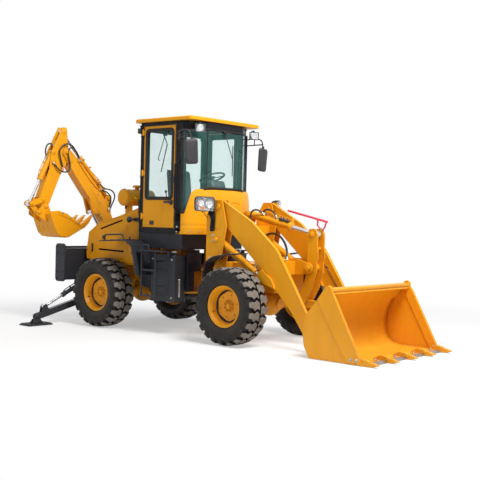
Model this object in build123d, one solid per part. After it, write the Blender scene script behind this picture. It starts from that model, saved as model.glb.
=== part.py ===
"""Backhoe loader, articulated, with a side-shift backhoe. Millimetres, +X forward, +Y left, +Z up.

The rear unit (cab, hood, tanks, backhoe) is drawn about its own axle centre line, and the front unit
(towers, loader) about its own. Both are placed along X when they are written, so their pieces keep
their places when the wheelbase changes. Each file in parts/ is one sub-part.
"""

import math
import os
from collections import namedtuple

from build123d import *

os.makedirs("parts", exist_ok=True)

# Driving sizes
wheelbase = 2612
rear_axle_x = -1765
front_axle_x = rear_axle_x + wheelbase
pivot_from_rear = wheelbase / 2
pivot_from_front = -wheelbase / 2

# Wheels
tyre_radius = 525
tyre_width = 400
wheel_y = 830
rim_radius = 262
rim_width = 290
rim_wall = 16
hub_radius = 92

# Clearances
pin_gap = 0.5        # radial, round a hinge pin
seat_gap = 0.3       # faces that seat on each other
side_gap = 3         # beside an eye in its fork
panel_gap = 5        # round a door
ram_wall = 20        # round a ram's pin

# Frames
rail_y = 300
rail_thick = 32
rail_low = 700
rail_high = 980
axle_radius = 120

# Cab
cab_half = 700
cab_rear = 635
cab_pillar_front = 1500
cab_front = 1700
cab_front_half = 385
cab_floor = 1465
cab_wall = 50
cab_header = 2985
roof_under = 3090
roof_thick = 56
glass_thick = 8
door_rear = 700
door_front = 1370
door_low = 1535
door_high = 3040
door_thick = 38

# Loader
arm_y = 545
arm_thick = 50
arm_pivot = (-462, 1860)
bucket_pin = (1238, 250)
rocker_pivot = (750, 1058)
rocker_top = (781, 1514)
rocker_low = (588, 574)
link_pin = (1208, 540)
loader_pin = 32
bucket_half = 935

# Backhoe: one plane across the machine, behind the rear axle, points are (y, z)
swing_x = -1220
swing_y = 710
boom_foot = (500, 1150)
boom_tip = (-690, 2712)
stick_lug = (-735, 3040)
crowd_base = (230, 2010)
boom_lug = (-85, 1760)
boom_ram_base = (560, 790)
dipper_ram_pin = (-935, 2690)
bucket_hinge = (-1104, 1817)
lever_pin = (-1134, 1935)
crank_pin = (-1347, 1858)
curl_pin = (-1226, 1720)
hoe_pin = 26
hoe_bucket_half = 245

# Stabilizers, points are (y, z) on the right
leg_x = -700
leg_pivot = (-320, 440)
leg_foot = (-1540, 130)
leg_ram_base = (-415, 745)
leg_ram_eye = (-1400, 275)
leg_thick = 70
leg_ram_width = 66
leg_space = max(leg_thick, leg_ram_width)

# A ram: its two pins in its plane, then its barrel's length, three radii, the width of its eyes, and how far
# from its base pin the rod starts
Ram = namedtuple("Ram", "base eye barrel barrel_radius rod_radius pin_radius base_width eye_width inner")

parts = {}


# Shapes in a side plane: lateral "y" draws (x, z) outlines, lateral "x" draws (y, z) outlines
def spot(lateral, point, t):
    a, b = point
    return (a, t, b) if lateral == "y" else (t, a, b)


def plate(lateral, points, t0, t1):
    outline = Polyline([spot(lateral, p, t0) for p in points], close=True)
    way = (0, 1, 0) if lateral == "y" else (1, 0, 0)
    return extrude(make_face(outline), amount=t1 - t0, dir=way)


def round_plate(lateral, points, radii, t0, t1):
    corners = [spot(lateral, p, t0) for p in points]
    outline = FilletPolyline(corners, radius=radii, close=True)
    way = (0, 1, 0) if lateral == "y" else (1, 0, 0)
    return extrude(make_face(outline), amount=t1 - t0, dir=way)


def flat(points, z0, z1):
    outline = Polyline([(x, y, z0) for x, y in points], close=True)
    return extrude(make_face(outline), amount=z1 - z0, dir=(0, 0, 1))


def block(x0, x1, y0, y1, z0, z1):
    return Pos((x0 + x1) / 2, (y0 + y1) / 2, (z0 + z1) / 2) * Box(x1 - x0, y1 - y0, z1 - z0)


def bar(start, end, radius):
    way = Vector(*end) - Vector(*start)
    upright = Cylinder(radius, way.length, align=(Align.CENTER, Align.CENTER, Align.MIN))
    return Plane(origin=start, z_dir=way) * upright


def disc(lateral, point, t0, t1, radius):
    return bar(spot(lateral, point, t0), spot(lateral, point, t1), radius)


def ring(lateral, point, t0, t1, outer, inner):
    return disc(lateral, point, t0, t1, outer) - disc(lateral, point, t0 - 1, t1 + 1, inner)


def limb(lateral, start, end, t0, t1, r0, r1):
    """A plate between two round ends, with its sides tangent to both."""
    dx = end[0] - start[0]
    dz = end[1] - start[1]
    length = math.hypot(dx, dz)
    lean = math.atan2(dz, dx)
    turn = math.acos((r0 - r1) / length)
    corners = []
    for centre, radius, side in ((start, r0, 1), (end, r1, 1), (end, r1, -1), (start, r0, -1)):
        angle = lean + side * turn
        corners.append((centre[0] + radius * math.cos(angle), centre[1] + radius * math.sin(angle)))
    body = plate(lateral, corners, t0, t1)
    return body + disc(lateral, start, t0, t1, r0) + disc(lateral, end, t0, t1, r1)


def along(start, end, distance):
    length = math.dist(start, end)
    share = distance / length
    return (start[0] + (end[0] - start[0]) * share, start[1] + (end[1] - start[1]) * share)


def mirrored(shape):
    return mirror(shape, about=Plane.XZ)


def both(shape):
    return shape + mirrored(shape)


def ram_barrel(lateral, ram, t):
    """Barrel with its base eye, gland collar and a bore for the rod."""
    half = ram.base_width / 2
    start = spot(lateral, along(ram.base, ram.eye, ram.barrel_radius * 0.6), t)
    end = spot(lateral, along(ram.base, ram.eye, ram.barrel), t)
    collar = spot(lateral, along(ram.base, ram.eye, ram.barrel - 45), t)
    deep = spot(lateral, along(ram.base, ram.eye, ram.pin_radius + ram_wall + 4), t)
    past = spot(lateral, along(ram.base, ram.eye, ram.barrel + 5), t)
    eye = disc(lateral, ram.base, t - half, t + half, ram.pin_radius + ram_wall)
    eye -= disc(lateral, ram.base, t - half - 60, t + half + 60, ram.pin_radius + pin_gap)
    body = bar(start, end, ram.barrel_radius) + bar(collar, end, ram.barrel_radius + 6)
    body -= bar(deep, past, ram.rod_radius + pin_gap)
    body -= disc(lateral, ram.base, t - half - 60, t + half + 60, ram.pin_radius + ram_wall / 2)
    return body + eye


def ram_rod(lateral, ram, t):
    """Rod with its eye. The pin's middle stretch fills the eye, short of the fork on each side."""
    half = ram.eye_width / 2
    body = bar(spot(lateral, along(ram.base, ram.eye, ram.inner), t), spot(lateral, ram.eye, t), ram.rod_radius)
    return body + disc(lateral, ram.eye, t - half, t + half, ram.pin_radius + ram_wall)


def fork(lateral, t, width, outline, thick):
    """Two lug plates, one each side of an eye of the width given."""
    gap = width / 2 + side_gap
    return plate(lateral, outline, t - gap - thick, t - gap) + plate(lateral, outline, t + gap, t + gap + thick)


def keep(name, shape, x):
    parts[name] = Pos(x, 0, 0) * shape


def rear(name, shape):
    keep(name, shape, rear_axle_x)


def front(name, shape):
    keep(name, shape, front_axle_x)


# Wheels: one tyre and one dished rim at each corner
def revolve_y(profile):
    """Profile points are (y, radius), turned about the wheel's own axle."""
    outline = Polyline([(0, y, r) for y, r in profile], close=True)
    return revolve(make_face(outline), axis=Axis.Y)


def tyre_shape():
    half = tyre_width / 2
    bead = rim_width / 2 - rim_wall - seat_gap
    lip = rim_radius + 26
    profile = [(-bead, rim_radius + seat_gap), (-bead, lip), (-bead - 30, lip), (-half + 12, rim_radius + 70),
               (-half, tyre_radius - 120),
               (-half + 18, tyre_radius - 38), (-half + 62, tyre_radius), (half - 62, tyre_radius),
               (half - 18, tyre_radius - 38), (half, tyre_radius - 120), (half - 12, rim_radius + 70),
               (bead + 30, lip), (bead, lip), (bead, rim_radius + seat_gap)]
    return revolve_y(profile)


def rim_shape():
    """Outward is +y: deep dish, disc set back towards the axle, hub boss in the middle."""
    half = rim_width / 2
    lip = rim_radius + 22
    inside = rim_radius - rim_wall
    disc_y = -20
    profile = [(half, lip), (half, rim_radius - 6), (half - 40, inside - 10), (disc_y + 60, inside - 26),
               (disc_y, hub_radius + 40), (disc_y + 14, hub_radius), (disc_y + 60, hub_radius - 14),
               (disc_y + 60, 0), (disc_y - 34, 0), (disc_y - 34, hub_radius + 44),
               (disc_y + 30, inside - 6), (-half, inside), (-half, lip), (-half + rim_wall, lip),
               (-half + rim_wall, rim_radius), (half - rim_wall, rim_radius), (half - rim_wall, lip)]
    shape = revolve_y(profile)
    for step in range(8):
        angle = math.radians(45 * step + 22.5)
        centre = ((hub_radius - 26) * math.cos(angle), (hub_radius - 26) * math.sin(angle))
        shape += disc("y", centre, disc_y + 58, disc_y + 70, 11)
    return shape


tyre = tyre_shape()
rim = rim_shape()
corners = [("front_right", front_axle_x, -1), ("front_left", front_axle_x, 1),
           ("rear_right", rear_axle_x, -1), ("rear_left", rear_axle_x, 1)]
for corner, corner_x, side in corners:
    place = Pos(0, side * wheel_y, tyre_radius)
    keep("tyre_" + corner, place * tyre, corner_x)
    facing = rim if side > 0 else mirrored(rim)
    keep("rim_" + corner, place * facing, corner_x)


# Axles: banjo housing, tapered tubes and a final drive at each end
def axle_shape(pad_high):
    end = wheel_y - 54 - seat_gap
    z = tyre_radius
    shape = both(bar((0, 0, z), (0, end - 60, z), axle_radius * 0.72))
    shape += both(bar((0, end - 190, z), (0, end, z), axle_radius * 1.05))
    shape += Pos(0, 0, z) * Sphere(axle_radius * 1.5)
    shape += bar((-axle_radius * 1.7, 0, z), (axle_radius * 1.7, 0, z), axle_radius * 0.62)
    pad_y = rail_y + rail_thick / 2
    shape += both(block(-90, 90, pad_y - 60, pad_y + 60, z, pad_high))
    return shape


drive_z = 500
joint_ball = 36
axle_pad_high = rail_low - seat_gap
rear("rear_axle", axle_shape(axle_pad_high))
front_axle = axle_shape(axle_pad_high)
front_axle += bar((pivot_from_front + joint_ball + 10, 0, drive_z), (-axle_radius * 1.6, 0, tyre_radius), 32)
front("front_axle", front_axle)


# Rear unit: rails from the side-shift frame to the articulation joint
rail_back = -745
hinge_plates = ((560, 590), (900, 930))     # low and high fork plates of the articulation joint
tongue_plates = ((594, 624), (866, 896))    # the front unit's plates, inside the fork
hinge_pin_radius = 34
joint_radius = 95
rail_front = pivot_from_rear - 190


def fork_plate(z0, z1):
    shape = flat([(rail_front - 30, -rail_y - rail_thick), (pivot_from_rear - 20, -joint_radius),
                  (pivot_from_rear - 20, joint_radius), (rail_front - 30, rail_y + rail_thick)], z0, z1)
    return shape + Pos(pivot_from_rear, 0, (z0 + z1) / 2) * Cylinder(joint_radius, z1 - z0)


rear_frame = both(block(rail_back, rail_front, rail_y, rail_y + rail_thick, rail_low, rail_high))
rear_frame += both(block(rail_front - 60, rail_front, rail_y, rail_y + rail_thick, hinge_plates[0][0], rail_high))
rear_frame += block(rail_front - 60, rail_front - 30, -rail_y, rail_y, hinge_plates[0][0], rail_high)
rear_frame += block(rail_back, rail_back + 24, -rail_y, rail_y, rail_low, rail_high)
rear_frame += block(560, 600, -rail_y, rail_y, rail_low, rail_low + 120)
for low, high in hinge_plates:
    rear_frame += fork_plate(low, high)
rear_frame += bar((pivot_from_rear, 0, hinge_plates[0][0] - 12), (pivot_from_rear, 0, hinge_plates[1][1] + 12),
                  hinge_pin_radius)
mount_top = 1440 - seat_gap
for mount_x in (760, 1080):
    post = block(mount_x - 45, mount_x + 45, rail_y - 20, rail_y + rail_thick + 20, rail_high, rail_high + 30)
    post += bar((mount_x, rail_y + 16, rail_high + 30), (mount_x, rail_y + 16, mount_top), 42)
    rear_frame += both(post)
hood_half = 620
hood_wall = 20
hood_inside = hood_half - hood_wall - seat_gap
rear_frame += both(block(-600, 520, rail_y + rail_thick - 1, hood_inside, 955, 978))
rear_frame += both(block(-600, 520, hood_inside - 26, hood_inside, 955, 1040))
rear("rear_frame", rear_frame)

# Engine and gearbox: one plain mass between the rails and under the hood, with the shafts to both axles
powertrain = block(-460, 420, -rail_y + seat_gap, rail_y - seat_gap, 800, 1440)
powertrain += block(419, 700, -190, 190, rail_low + 120 + seat_gap, 960)
powertrain += block(600 + seat_gap, 980, -210, 210, 440, 860)
powertrain += bar((axle_radius * 1.7 + 1, 0, tyre_radius), (602, 0, tyre_radius), 34)
powertrain += bar((979, 0, drive_z), (pivot_from_rear, 0, drive_z), 32)
powertrain += Pos(pivot_from_rear, 0, drive_z) * Sphere(joint_ball)
rear("powertrain", powertrain)

# Engine hood: thin shell, open below, with slots in its sides
hood_front = 540
hood_side = [(-665, 1030), (-670, 1140), (-620, 1430), (-360, 1594), (70, 1690), (hood_front, 1830),
             (hood_front, 985), (240, 985), (-640, 1005)]
hood_hollow = [(-700, 1100), (-648, 1140), (-602, 1416), (-352, 1573), (74, 1669), (hood_front - hood_wall, 1802),
               (hood_front - hood_wall, 900), (-700, 900)]
hood = plate("y", hood_side, -hood_half, hood_half)
hood -= plate("y", hood_hollow, -hood_half + hood_wall, hood_half - hood_wall)
hood += plate("y", [(-665, 1030), (-670, 1140), (-645, 1140), (-640, 1005)], -hood_half, hood_half)
slots = [((-330, 1490), (160, 1630)), ((-370, 1167), (200, 1152))]
for start, end in slots:
    hood -= limb("y", start, end, -hood_half - 10, hood_half + 10, 13, 13)
rear("engine_hood", hood)

# Air cleaner: drum across the machine on a saddle, with its pre-cleaner bowl
cleaner_x = 50
cleaner_z = 1990
cleaner_r = 128
hood_top_at_cleaner = 1684
cleaner = bar((cleaner_x, -500, cleaner_z), (cleaner_x, 60, cleaner_z), cleaner_r)
cleaner += bar((cleaner_x, -508, cleaner_z), (cleaner_x, -500, cleaner_z), cleaner_r - 12)
cleaner += bar((cleaner_x, -400, cleaner_z), (cleaner_x, -370, cleaner_z), cleaner_r + 5)
cleaner += bar((cleaner_x, -60, cleaner_z), (cleaner_x, -30, cleaner_z), cleaner_r + 5)
cleaner += bar((cleaner_x, -220, cleaner_z), (cleaner_x, -220, 2160), 36)
cleaner += bar((cleaner_x, -220, 2150), (cleaner_x, -220, 2166), 72)
cleaner += bar((cleaner_x, -220, 2166), (cleaner_x, -220, 2186), 62)
for foot_y in (-385, -45):
    cleaner += block(cleaner_x - 70, cleaner_x + 70, foot_y - 12, foot_y + 12, 1720, cleaner_z - 90)
saddle = plate("y", [(cleaner_x - 90, 1658.3), (cleaner_x - 90, 1722), (cleaner_x + 90, 1722),
                     (cleaner_x + 90, 1699)], -430, 0)
saddle -= plate("y", [(-360, 1594.3), (70, 1690.3), (hood_front, 1830.3), (hood_front, 1500), (-360, 1500)],
                -500, 100)
rear("air_cleaner", cleaner + saddle)

base_rear = 600
base_front = 1500
base_half = 660

# Rear mudguards: shelf over the tyre, guard panel down its front
guard_line = [(90, 1318), (640, 1352), (812, 1268), (925, 845)]
guard_under = [(913, 842), (802, 1259), (637, 1343), (90, 1309)]
guard_inner = hood_half + 0.3
guard_outer = 1010
mudguard = plate("y", guard_line + guard_under, -guard_outer, -guard_inner)
mudguard += bar((650, -900, 1350), (650, -900, 1392), 12)
mudguard -= block(base_rear - 5, 2000, -base_half - 5, 0, 1200, 1500)

# Cab platform: skirt below the cab, open underneath
cab_base = block(base_rear, base_front, -base_half, base_half, 1235, cab_floor - seat_gap)
cab_base -= block(base_rear + 20, base_front - 20, -base_half + 20, base_half - 20, 1200, 1440)
rear("cab_platform", cab_base)

# Tanks, one each side, carried on the rails by a bracket
tank_rear = 1010
tank_front = 1500
tank_inner = 560
tank_outer = 800
tank_low = 480
tank_high = 1150
tank = block(tank_rear, tank_front, -tank_outer, -tank_inner, tank_low, tank_high)
tank = fillet(tank.edges().filter_by(Axis.Z), 28)
tank += bar((1400, -700, tank_high), (1400, -700, tank_high + 34), 38)
arm_bracket = block(tank_rear + 20, tank_rear + 60, -tank_inner, -rail_y - rail_thick - seat_gap, 720, 900)
tank += arm_bracket
rear("side_tanks", both(tank))

# Steps: two rungs between round rails, and a tread bar along the top
step_y = -930
step_rear = 955
step_front = 1245
step_bar = 14
ladder = bar((step_rear, step_y, 540), (step_rear, step_y, 1200), step_bar)
ladder += bar((step_front, step_y, 540), (step_front, step_y, 1200), step_bar)
for rung_z in (556, 925):
    ladder += bar((step_rear, step_y, rung_z), (step_front, step_y, rung_z), step_bar)
ladder += block(870, 1440, step_y - 20, step_y + 110, 1196, 1212)
ladder += block(1010, 1060, step_y + 100, -tank_outer - seat_gap, 1120, 1204)
ladder += block(1370, 1420, step_y + 100, -tank_outer - seat_gap, 1120, 1204)
for stay_z in (700, 1060):
    ladder += bar((step_front, step_y, stay_z), (step_front, -tank_outer - seat_gap, stay_z), 10)
rear("mudguards_and_steps", both(mudguard + ladder))

# Cab shell: posts, sills and roof band, with every window and both doors cut out
def cab_plan(inset):
    front_half = cab_front_half - inset * 0.55
    post_front = cab_pillar_front - inset * 0.5
    return [(cab_rear + inset, -cab_half + inset), (post_front, -cab_half + inset),
            (cab_front - inset, -front_half), (cab_front - inset, front_half),
            (post_front, cab_half - inset), (cab_rear + inset, cab_half - inset)]


nose_top = [(1480, 1752), (1556, 1752), (1650, 2048), (1690, 2105), (1760, 2112)]
cab = flat(cab_plan(0), cab_floor, roof_under) - flat(cab_plan(cab_wall), cab_floor + 24, roof_under - 24)
cab -= block(cab_pillar_front, 2000, -cab_half - 20, cab_half + 20, cab_floor + 24, cab_header)
cab -= block(door_rear - panel_gap, door_front + panel_gap, -cab_half - 20, cab_half + 20,
             door_low - panel_gap, door_high + panel_gap)
cab -= block(cab_rear - 20, cab_rear + cab_wall + 1, -cab_half + 70, cab_half - 70, 1960, cab_header)
cab -= block(cab_pillar_front - 20, 2000, -cab_half - 20, cab_half + 20, cab_floor - 10, cab_floor + 30)
cab += flat(cab_plan(6), cab_floor, cab_floor + 24)
# Glass: one wrap-round front sheet above the nose, one rear sheet
front_glass = flat(cab_plan(2), 1755, cab_header - seat_gap) - flat(cab_plan(2 + glass_thick), 1700, cab_header + 10)
glass_reach = cab_half + 100
front_glass -= block(cab_rear - 100, cab_pillar_front + 1, -glass_reach, glass_reach, 1600, 3200)
front_glass -= plate("y", [(1400, 1600), (1400, 1752.3)] + [(x, z + 0.3) for x, z in nose_top[1:]] + [(1760, 1600)],
                     -glass_reach, glass_reach)
rear_glass = block(cab_rear + 20, cab_rear + 20 + glass_thick, -cab_half + 70.3, cab_half - 70.3, 1960.3,
                   cab_header - 0.3)
rear("cab_glass", front_glass + rear_glass)

# Nose: domed yellow cowl in front of the cab's feet, hollow behind
nose_side = [(1420, 1457), (1795, 1457), (1770, 1800), (1745, 2070), (1715, 2112), (1690, 2105), (1650, 2048),
             (1556, 1752), (1420, 1752)]
nose_plan = [(1392, -cab_half - 12), (1610, -cab_half - 12), (1735, -560), (1800, -400), (1800, 400),
             (1735, 560), (1610, cab_half + 12), (1392, cab_half + 12)]
nose_room = [(1300, -cab_half - 0.3), (1500, -cab_half - 0.3), (1604, -cab_half + 18), (1708, -540),
             (1708, 540), (1604, cab_half - 18), (1500, cab_half + 0.3), (1300, cab_half + 0.3)]
nose = plate("y", nose_side, -cab_half - 200, cab_half + 200) & flat(nose_plan, 1400, 2200)
nose -= flat(nose_room, 1400, 2050) - flat(cab_plan(-1), 3000, 3001)
nose -= flat(cab_plan(-0.3), 1400, 2400)
rear("cab_nose", nose)

# Roof: slab with soft edges, overhanging the cab all round
roof_half = cab_half + 58
roof = block(534, 1735, -roof_half, roof_half, roof_under + seat_gap, roof_under + roof_thick)
roof = fillet(roof.edges().filter_by(Axis.Z), 70)
roof = fillet(roof.faces().sort_by(Axis.Z)[-1].edges(), 24)
rear("cab_roof", roof)

# Seat and controls
seat = block(960, 1160, -130, 130, cab_floor + 24.3, 1700)
seat += block(860, 1340, -240, 240, 1700, 1800)
seat += plate("y", [(860, 1800), (960, 1800), (870, 2330), (790, 2330)], -225, 225)
console = block(1560, 1688, -330, 330, cab_floor + 24.3, 1990)
console += bar((1590, 0, 1960), (1430, 0, 2099), 26)
wheel_plane = Plane(origin=(1432, 0, 2098), z_dir=(-150, 0, 130))
console += wheel_plane * Torus(185, 15)
for spoke in range(3):
    angle = math.radians(90 + 120 * spoke)
    tip = wheel_plane.from_local_coords(Vector(185 * math.cos(angle), 185 * math.sin(angle), 0))
    console += bar((1432, 0, 2098), (tip.X, tip.Y, tip.Z), 9)
levers = block(700, 790, -330, 330, cab_floor + 24.3, 1900)
for lever_y in (-240, -120, 120, 240):
    levers += bar((745, lever_y, 1890), (720, lever_y, 2080), 9)
    levers += Pos(720, lever_y, 2090) * Sphere(20)
rear("operator_station", seat + console + levers)

# Doors: one panel each side, window cut out, glass inside it
window = (780, 1300, 1985, 2955)
door = block(door_rear, door_front, -cab_half, -cab_half + door_thick, door_low, door_high)
door -= block(window[0], window[1], -cab_half - 9, -cab_half + door_thick + 9, window[2], window[3])
door_axis = (door_rear - 2, -cab_half - 16)
knuckle_zs = (1660, 2300, 2900)
knuckle_high = 90
knuckle_radius = 13
door_pin_radius = 7
door_pins = []
for knuckle_z in knuckle_zs:
    low = (door_axis[0], door_axis[1], knuckle_z)
    high = (door_axis[0], door_axis[1], knuckle_z + knuckle_high)
    door += bar(low, high, knuckle_radius)
    door += block(door_axis[0], door_rear + 44, -cab_half - 11, -cab_half + 1, knuckle_z + 15, knuckle_z + 75)
    door -= bar(low, high, door_pin_radius + pin_gap)
    pin = bar((door_axis[0], door_axis[1], knuckle_z - 24), (door_axis[0], door_axis[1], knuckle_z + 93),
              door_pin_radius)
    pin += bar((door_axis[0], door_axis[1], knuckle_z - 24), (door_axis[0], door_axis[1], knuckle_z - side_gap),
               knuckle_radius)
    pin += block(cab_rear + 5, door_axis[0], -cab_half - 11, -cab_half + 1, knuckle_z - 24, knuckle_z - side_gap)
    door_pins.append(pin)
door += block(1180, 1330, -cab_half - 34, -cab_half - 18, 1905, 1925)
door += block(1300, 1330, -cab_half - 20, -cab_half, 1900, 1930)
rear("door_right", door)
rear("door_left", mirrored(door))
pane = block(window[0] + 0.3, window[1] - 0.3, -cab_half + 14, -cab_half + 14 + glass_thick,
             window[2] + 0.3, window[3] - 0.3)
rear("door_glass_right", pane)
rear("door_glass_left", mirrored(pane))

# Grab bars beside the doors
grab = bar((1440, -cab_half, 2514), (1440, -cab_half - 75, 2450), 12)
grab += bar((1440, -cab_half - 75, 2450), (1440, -cab_half - 75, 1840), 12)
grab += bar((1440, -cab_half - 75, 1840), (1440, -cab_half, 1775), 12)
grab += Pos(1440, -cab_half - 75, 2450) * Sphere(12)
grab += Pos(1440, -cab_half - 75, 1840) * Sphere(12)
cab += both(grab)
for pin in door_pins:
    cab += both(pin)
rear("cab_frame", cab)

# Mirrors and lamps round the roof
mirror_y = -cab_half - 100
mirror_half = 72
mirror_arm = block(1446, 1494, -cab_half - 12, -cab_half - seat_gap, 2810, 2940)
mirror_arm += bar((1470, -cab_half - 10, 2920), (1700, mirror_y - 10, 2935), 9)
mirror_arm += bar((1470, -cab_half - 10, 2830), (1700, mirror_y - 10, 2845), 9)
mirror_arm += bar((1700, mirror_y - 10, 2826), (1700, mirror_y - 10, 2952), 12)
mirror_arm += bar((1700, mirror_y - 8, 2930), (1760, mirror_y, 2780), 9)
housing = block(1742, 1778, mirror_y - mirror_half, mirror_y + mirror_half, 2455, 2800)
housing = fillet(housing.edges().filter_by(Axis.X), 34)
rear("mirrors", both(mirror_arm + housing))


# Side-shift frame: box beam across the machine, with the stabilizer cheeks in front of it
beam_front = rail_back
beam_rear = beam_front - 225
beam_half = 975
beam_lip = 30
beam_low = 680
beam_high = 1165
cheek_thick = 12
leg_front = leg_x + leg_space / 2 + side_gap
leg_rear = leg_x - leg_space / 2 - side_gap

beam = block(beam_front - 20, beam_front - seat_gap, -beam_half, beam_half, beam_low, 1130)
beam += block(beam_rear + 30, beam_front - 20, -beam_half, beam_half, beam_high - 90, beam_high)
beam += block(beam_rear + 30, beam_front - 20, -beam_half, beam_half, beam_low, beam_low + 90)
beam += block(beam_rear, beam_rear + 30, -beam_half, beam_half, beam_high - 60, beam_high + 30)
beam += block(beam_rear, beam_rear + 30, -beam_half, beam_half, beam_low - 30, beam_low + 60)
end_cap = round_plate("y", [(beam_rear, 640), (beam_front + 5, 640), (beam_front + 5, 1240),
                            (beam_rear, 1240)], 60, -beam_half - 26, -beam_half)
beam += both(end_cap)


# Swing carriage: clamps on the beam's rear lips and carries the vertical swing hinge
carriage_half = 210
lug_low = (665, 725)
lug_high = (1000, 1060)
lug_radius = 98
post_radius = 88
swing_pin = 38
carriage_low = 618
carriage_high = 1228
plate_rear = beam_rear - 38
side_low = swing_y - carriage_half
side_high = swing_y + carriage_half
carriage = block(plate_rear, beam_rear - seat_gap, side_low, side_high, carriage_low, carriage_high)
for low, high in ((beam_high + 30 + seat_gap, carriage_high), (carriage_low, beam_low - 30 - seat_gap)):
    carriage += block(beam_rear - 2, beam_rear + 54, side_low, side_high, low, high)
hook_x = beam_rear + 30 + seat_gap
for low, high in ((beam_high + 4, carriage_high), (carriage_low, beam_low - 4)):
    carriage += block(hook_x, beam_rear + 54, side_low, side_high, low, high)
for low, high in (lug_low, lug_high):
    carriage += block(swing_x, plate_rear + 1, swing_y - lug_radius, swing_y + lug_radius, low, high)
    carriage += Pos(swing_x, swing_y, (low + high) / 2) * Cylinder(lug_radius, high - low)
for low, high in (lug_low, lug_high):
    carriage -= Pos(swing_x, swing_y, (low + high) / 2) * Cylinder(swing_pin + pin_gap, high - low + 2)
rear("swing_carriage", carriage)

# Swing post: turns on the carriage, carries the boom's foot pin and the boom ram's base pin
boom_half = 85
post_cheek = 26
post_in = boom_half + side_gap
post_out = post_in + post_cheek
post = bar((swing_x, swing_y, lug_low[1] + side_gap), (swing_x, swing_y, lug_high[0] - side_gap), post_radius)
post += bar((swing_x, swing_y, lug_low[0] - 14), (swing_x, swing_y, lug_high[1] + 8), swing_pin)
cheek = [(swing_y - 40, 775), (swing_y - 40, 985), (swing_y - lug_radius, 988), (boom_foot[0] + 92, 1030),
         (boom_foot[0] + 66, 1175), (boom_foot[0] + 20, 1215), (boom_foot[0] - 45, 1205), (boom_foot[0] - 70, 1120),
         (boom_ram_base[0] - 62, 860), (boom_ram_base[0] - 50, 745), (boom_ram_base[0] + 30, 742)]
post += plate("x", cheek, swing_x - post_out, swing_x - post_in)
post += plate("x", cheek, swing_x + post_in, swing_x + post_out)
post += block(swing_x - post_out, swing_x + post_out, swing_y - lug_radius + 8, swing_y - 42, 778, 982)
post += disc("x", boom_foot, swing_x - post_out - 12, swing_x + post_out + 12, hoe_pin + 4)
post += disc("x", boom_ram_base, swing_x - post_out - 12, swing_x + post_out + 12, hoe_pin)
rear("swing_post", post)

# Rams of the backhoe, in its plane
boom_ram = Ram(boom_ram_base, boom_lug, 620, 56, 30, hoe_pin, 112, 90, 500)
crowd_ram = Ram(crowd_base, stick_lug, 880, 42, 26, hoe_pin, 84, 80, 590)
dipper_ram = Ram(dipper_ram_pin, crank_pin, 500, 42, 24, 22, 84, 70, 300)

# Boom: box that is deepest below its middle, forked at its tip
fork_gap = 64
boom_side = [(boom_foot[0] - 55, 1110), (60, 1700), (-90, 1860), (-330, 2130), (-640, 2510), (-765, 2690),
             (-735, 2775), (-650, 2775), (-420, 2570), (-60, 2205), (110, 1990), (260, 1755), (boom_foot[0] + 68, 1190),
             (boom_foot[0] + 45, 1092)]
boom = plate("x", boom_side, swing_x - boom_half, swing_x + boom_half)
tip_slot = [(-900, 2900), (-900, 2500), (-700, 2490), (-545, 2560), (-500, 2700), (-560, 2900)]
boom -= plate("x", tip_slot, swing_x - fork_gap, swing_x + fork_gap)
boom += disc("x", boom_foot, swing_x - boom_half, swing_x + boom_half, 72)
boom -= disc("x", boom_foot, swing_x - 200, swing_x + 200, hoe_pin + 4 + pin_gap)
boom += disc("x", boom_tip, swing_x - boom_half - 20, swing_x + boom_half + 20, hoe_pin)
crowd_fork = [(crowd_base[0] - 90, crowd_base[1] - 60), (crowd_base[0] - 40, crowd_base[1] + 34),
              (crowd_base[0] + 14, crowd_base[1] + 46), (crowd_base[0] + 48, crowd_base[1] + 6),
              (crowd_base[0] + 20, crowd_base[1] - 230), (crowd_base[0] - 170, crowd_base[1] - 30)]
boom += fork("x", swing_x, crowd_ram.base_width, crowd_fork, 22)
boom += disc("x", crowd_base, swing_x - 78, swing_x + 78, hoe_pin)
lug_fork = [(boom_lug[0] - 50, boom_lug[1] + 6), (boom_lug[0] - 26, boom_lug[1] - 44), (boom_lug[0] + 30, boom_lug[1] - 40),
            (boom_lug[0] + 160, boom_lug[1] - 30), (boom_lug[0] + 100, boom_lug[1] + 150), (boom_lug[0] - 120, boom_lug[1] + 220)]
boom += fork("x", swing_x, boom_ram.eye_width, lug_fork, boom_half - boom_ram.eye_width / 2 - side_gap)
room = [(boom_lug[0] - 200, boom_lug[1] + 60), (boom_lug[0] - 90, boom_lug[1] - 90), (boom_lug[0] + 240, boom_lug[1] - 400),
        (boom_lug[0] + 260, boom_lug[1] - 250), (boom_lug[0] + 90, boom_lug[1] + 40), (boom_lug[0] + 20, boom_lug[1] + 100),
        (boom_lug[0] - 60, boom_lug[1] + 130)]
boom -= plate("x", room, swing_x - boom_ram.eye_width / 2 - side_gap, swing_x + boom_ram.eye_width / 2 + side_gap)
rear("backhoe_boom", boom)
rear("boom_ram_barrel", ram_barrel("x", boom_ram, swing_x))
rear("boom_ram_rod", ram_rod("x", boom_ram, swing_x))
rear("crowd_ram_barrel", ram_barrel("x", crowd_ram, swing_x))
rear("crowd_ram_rod", ram_rod("x", crowd_ram, swing_x))

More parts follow.
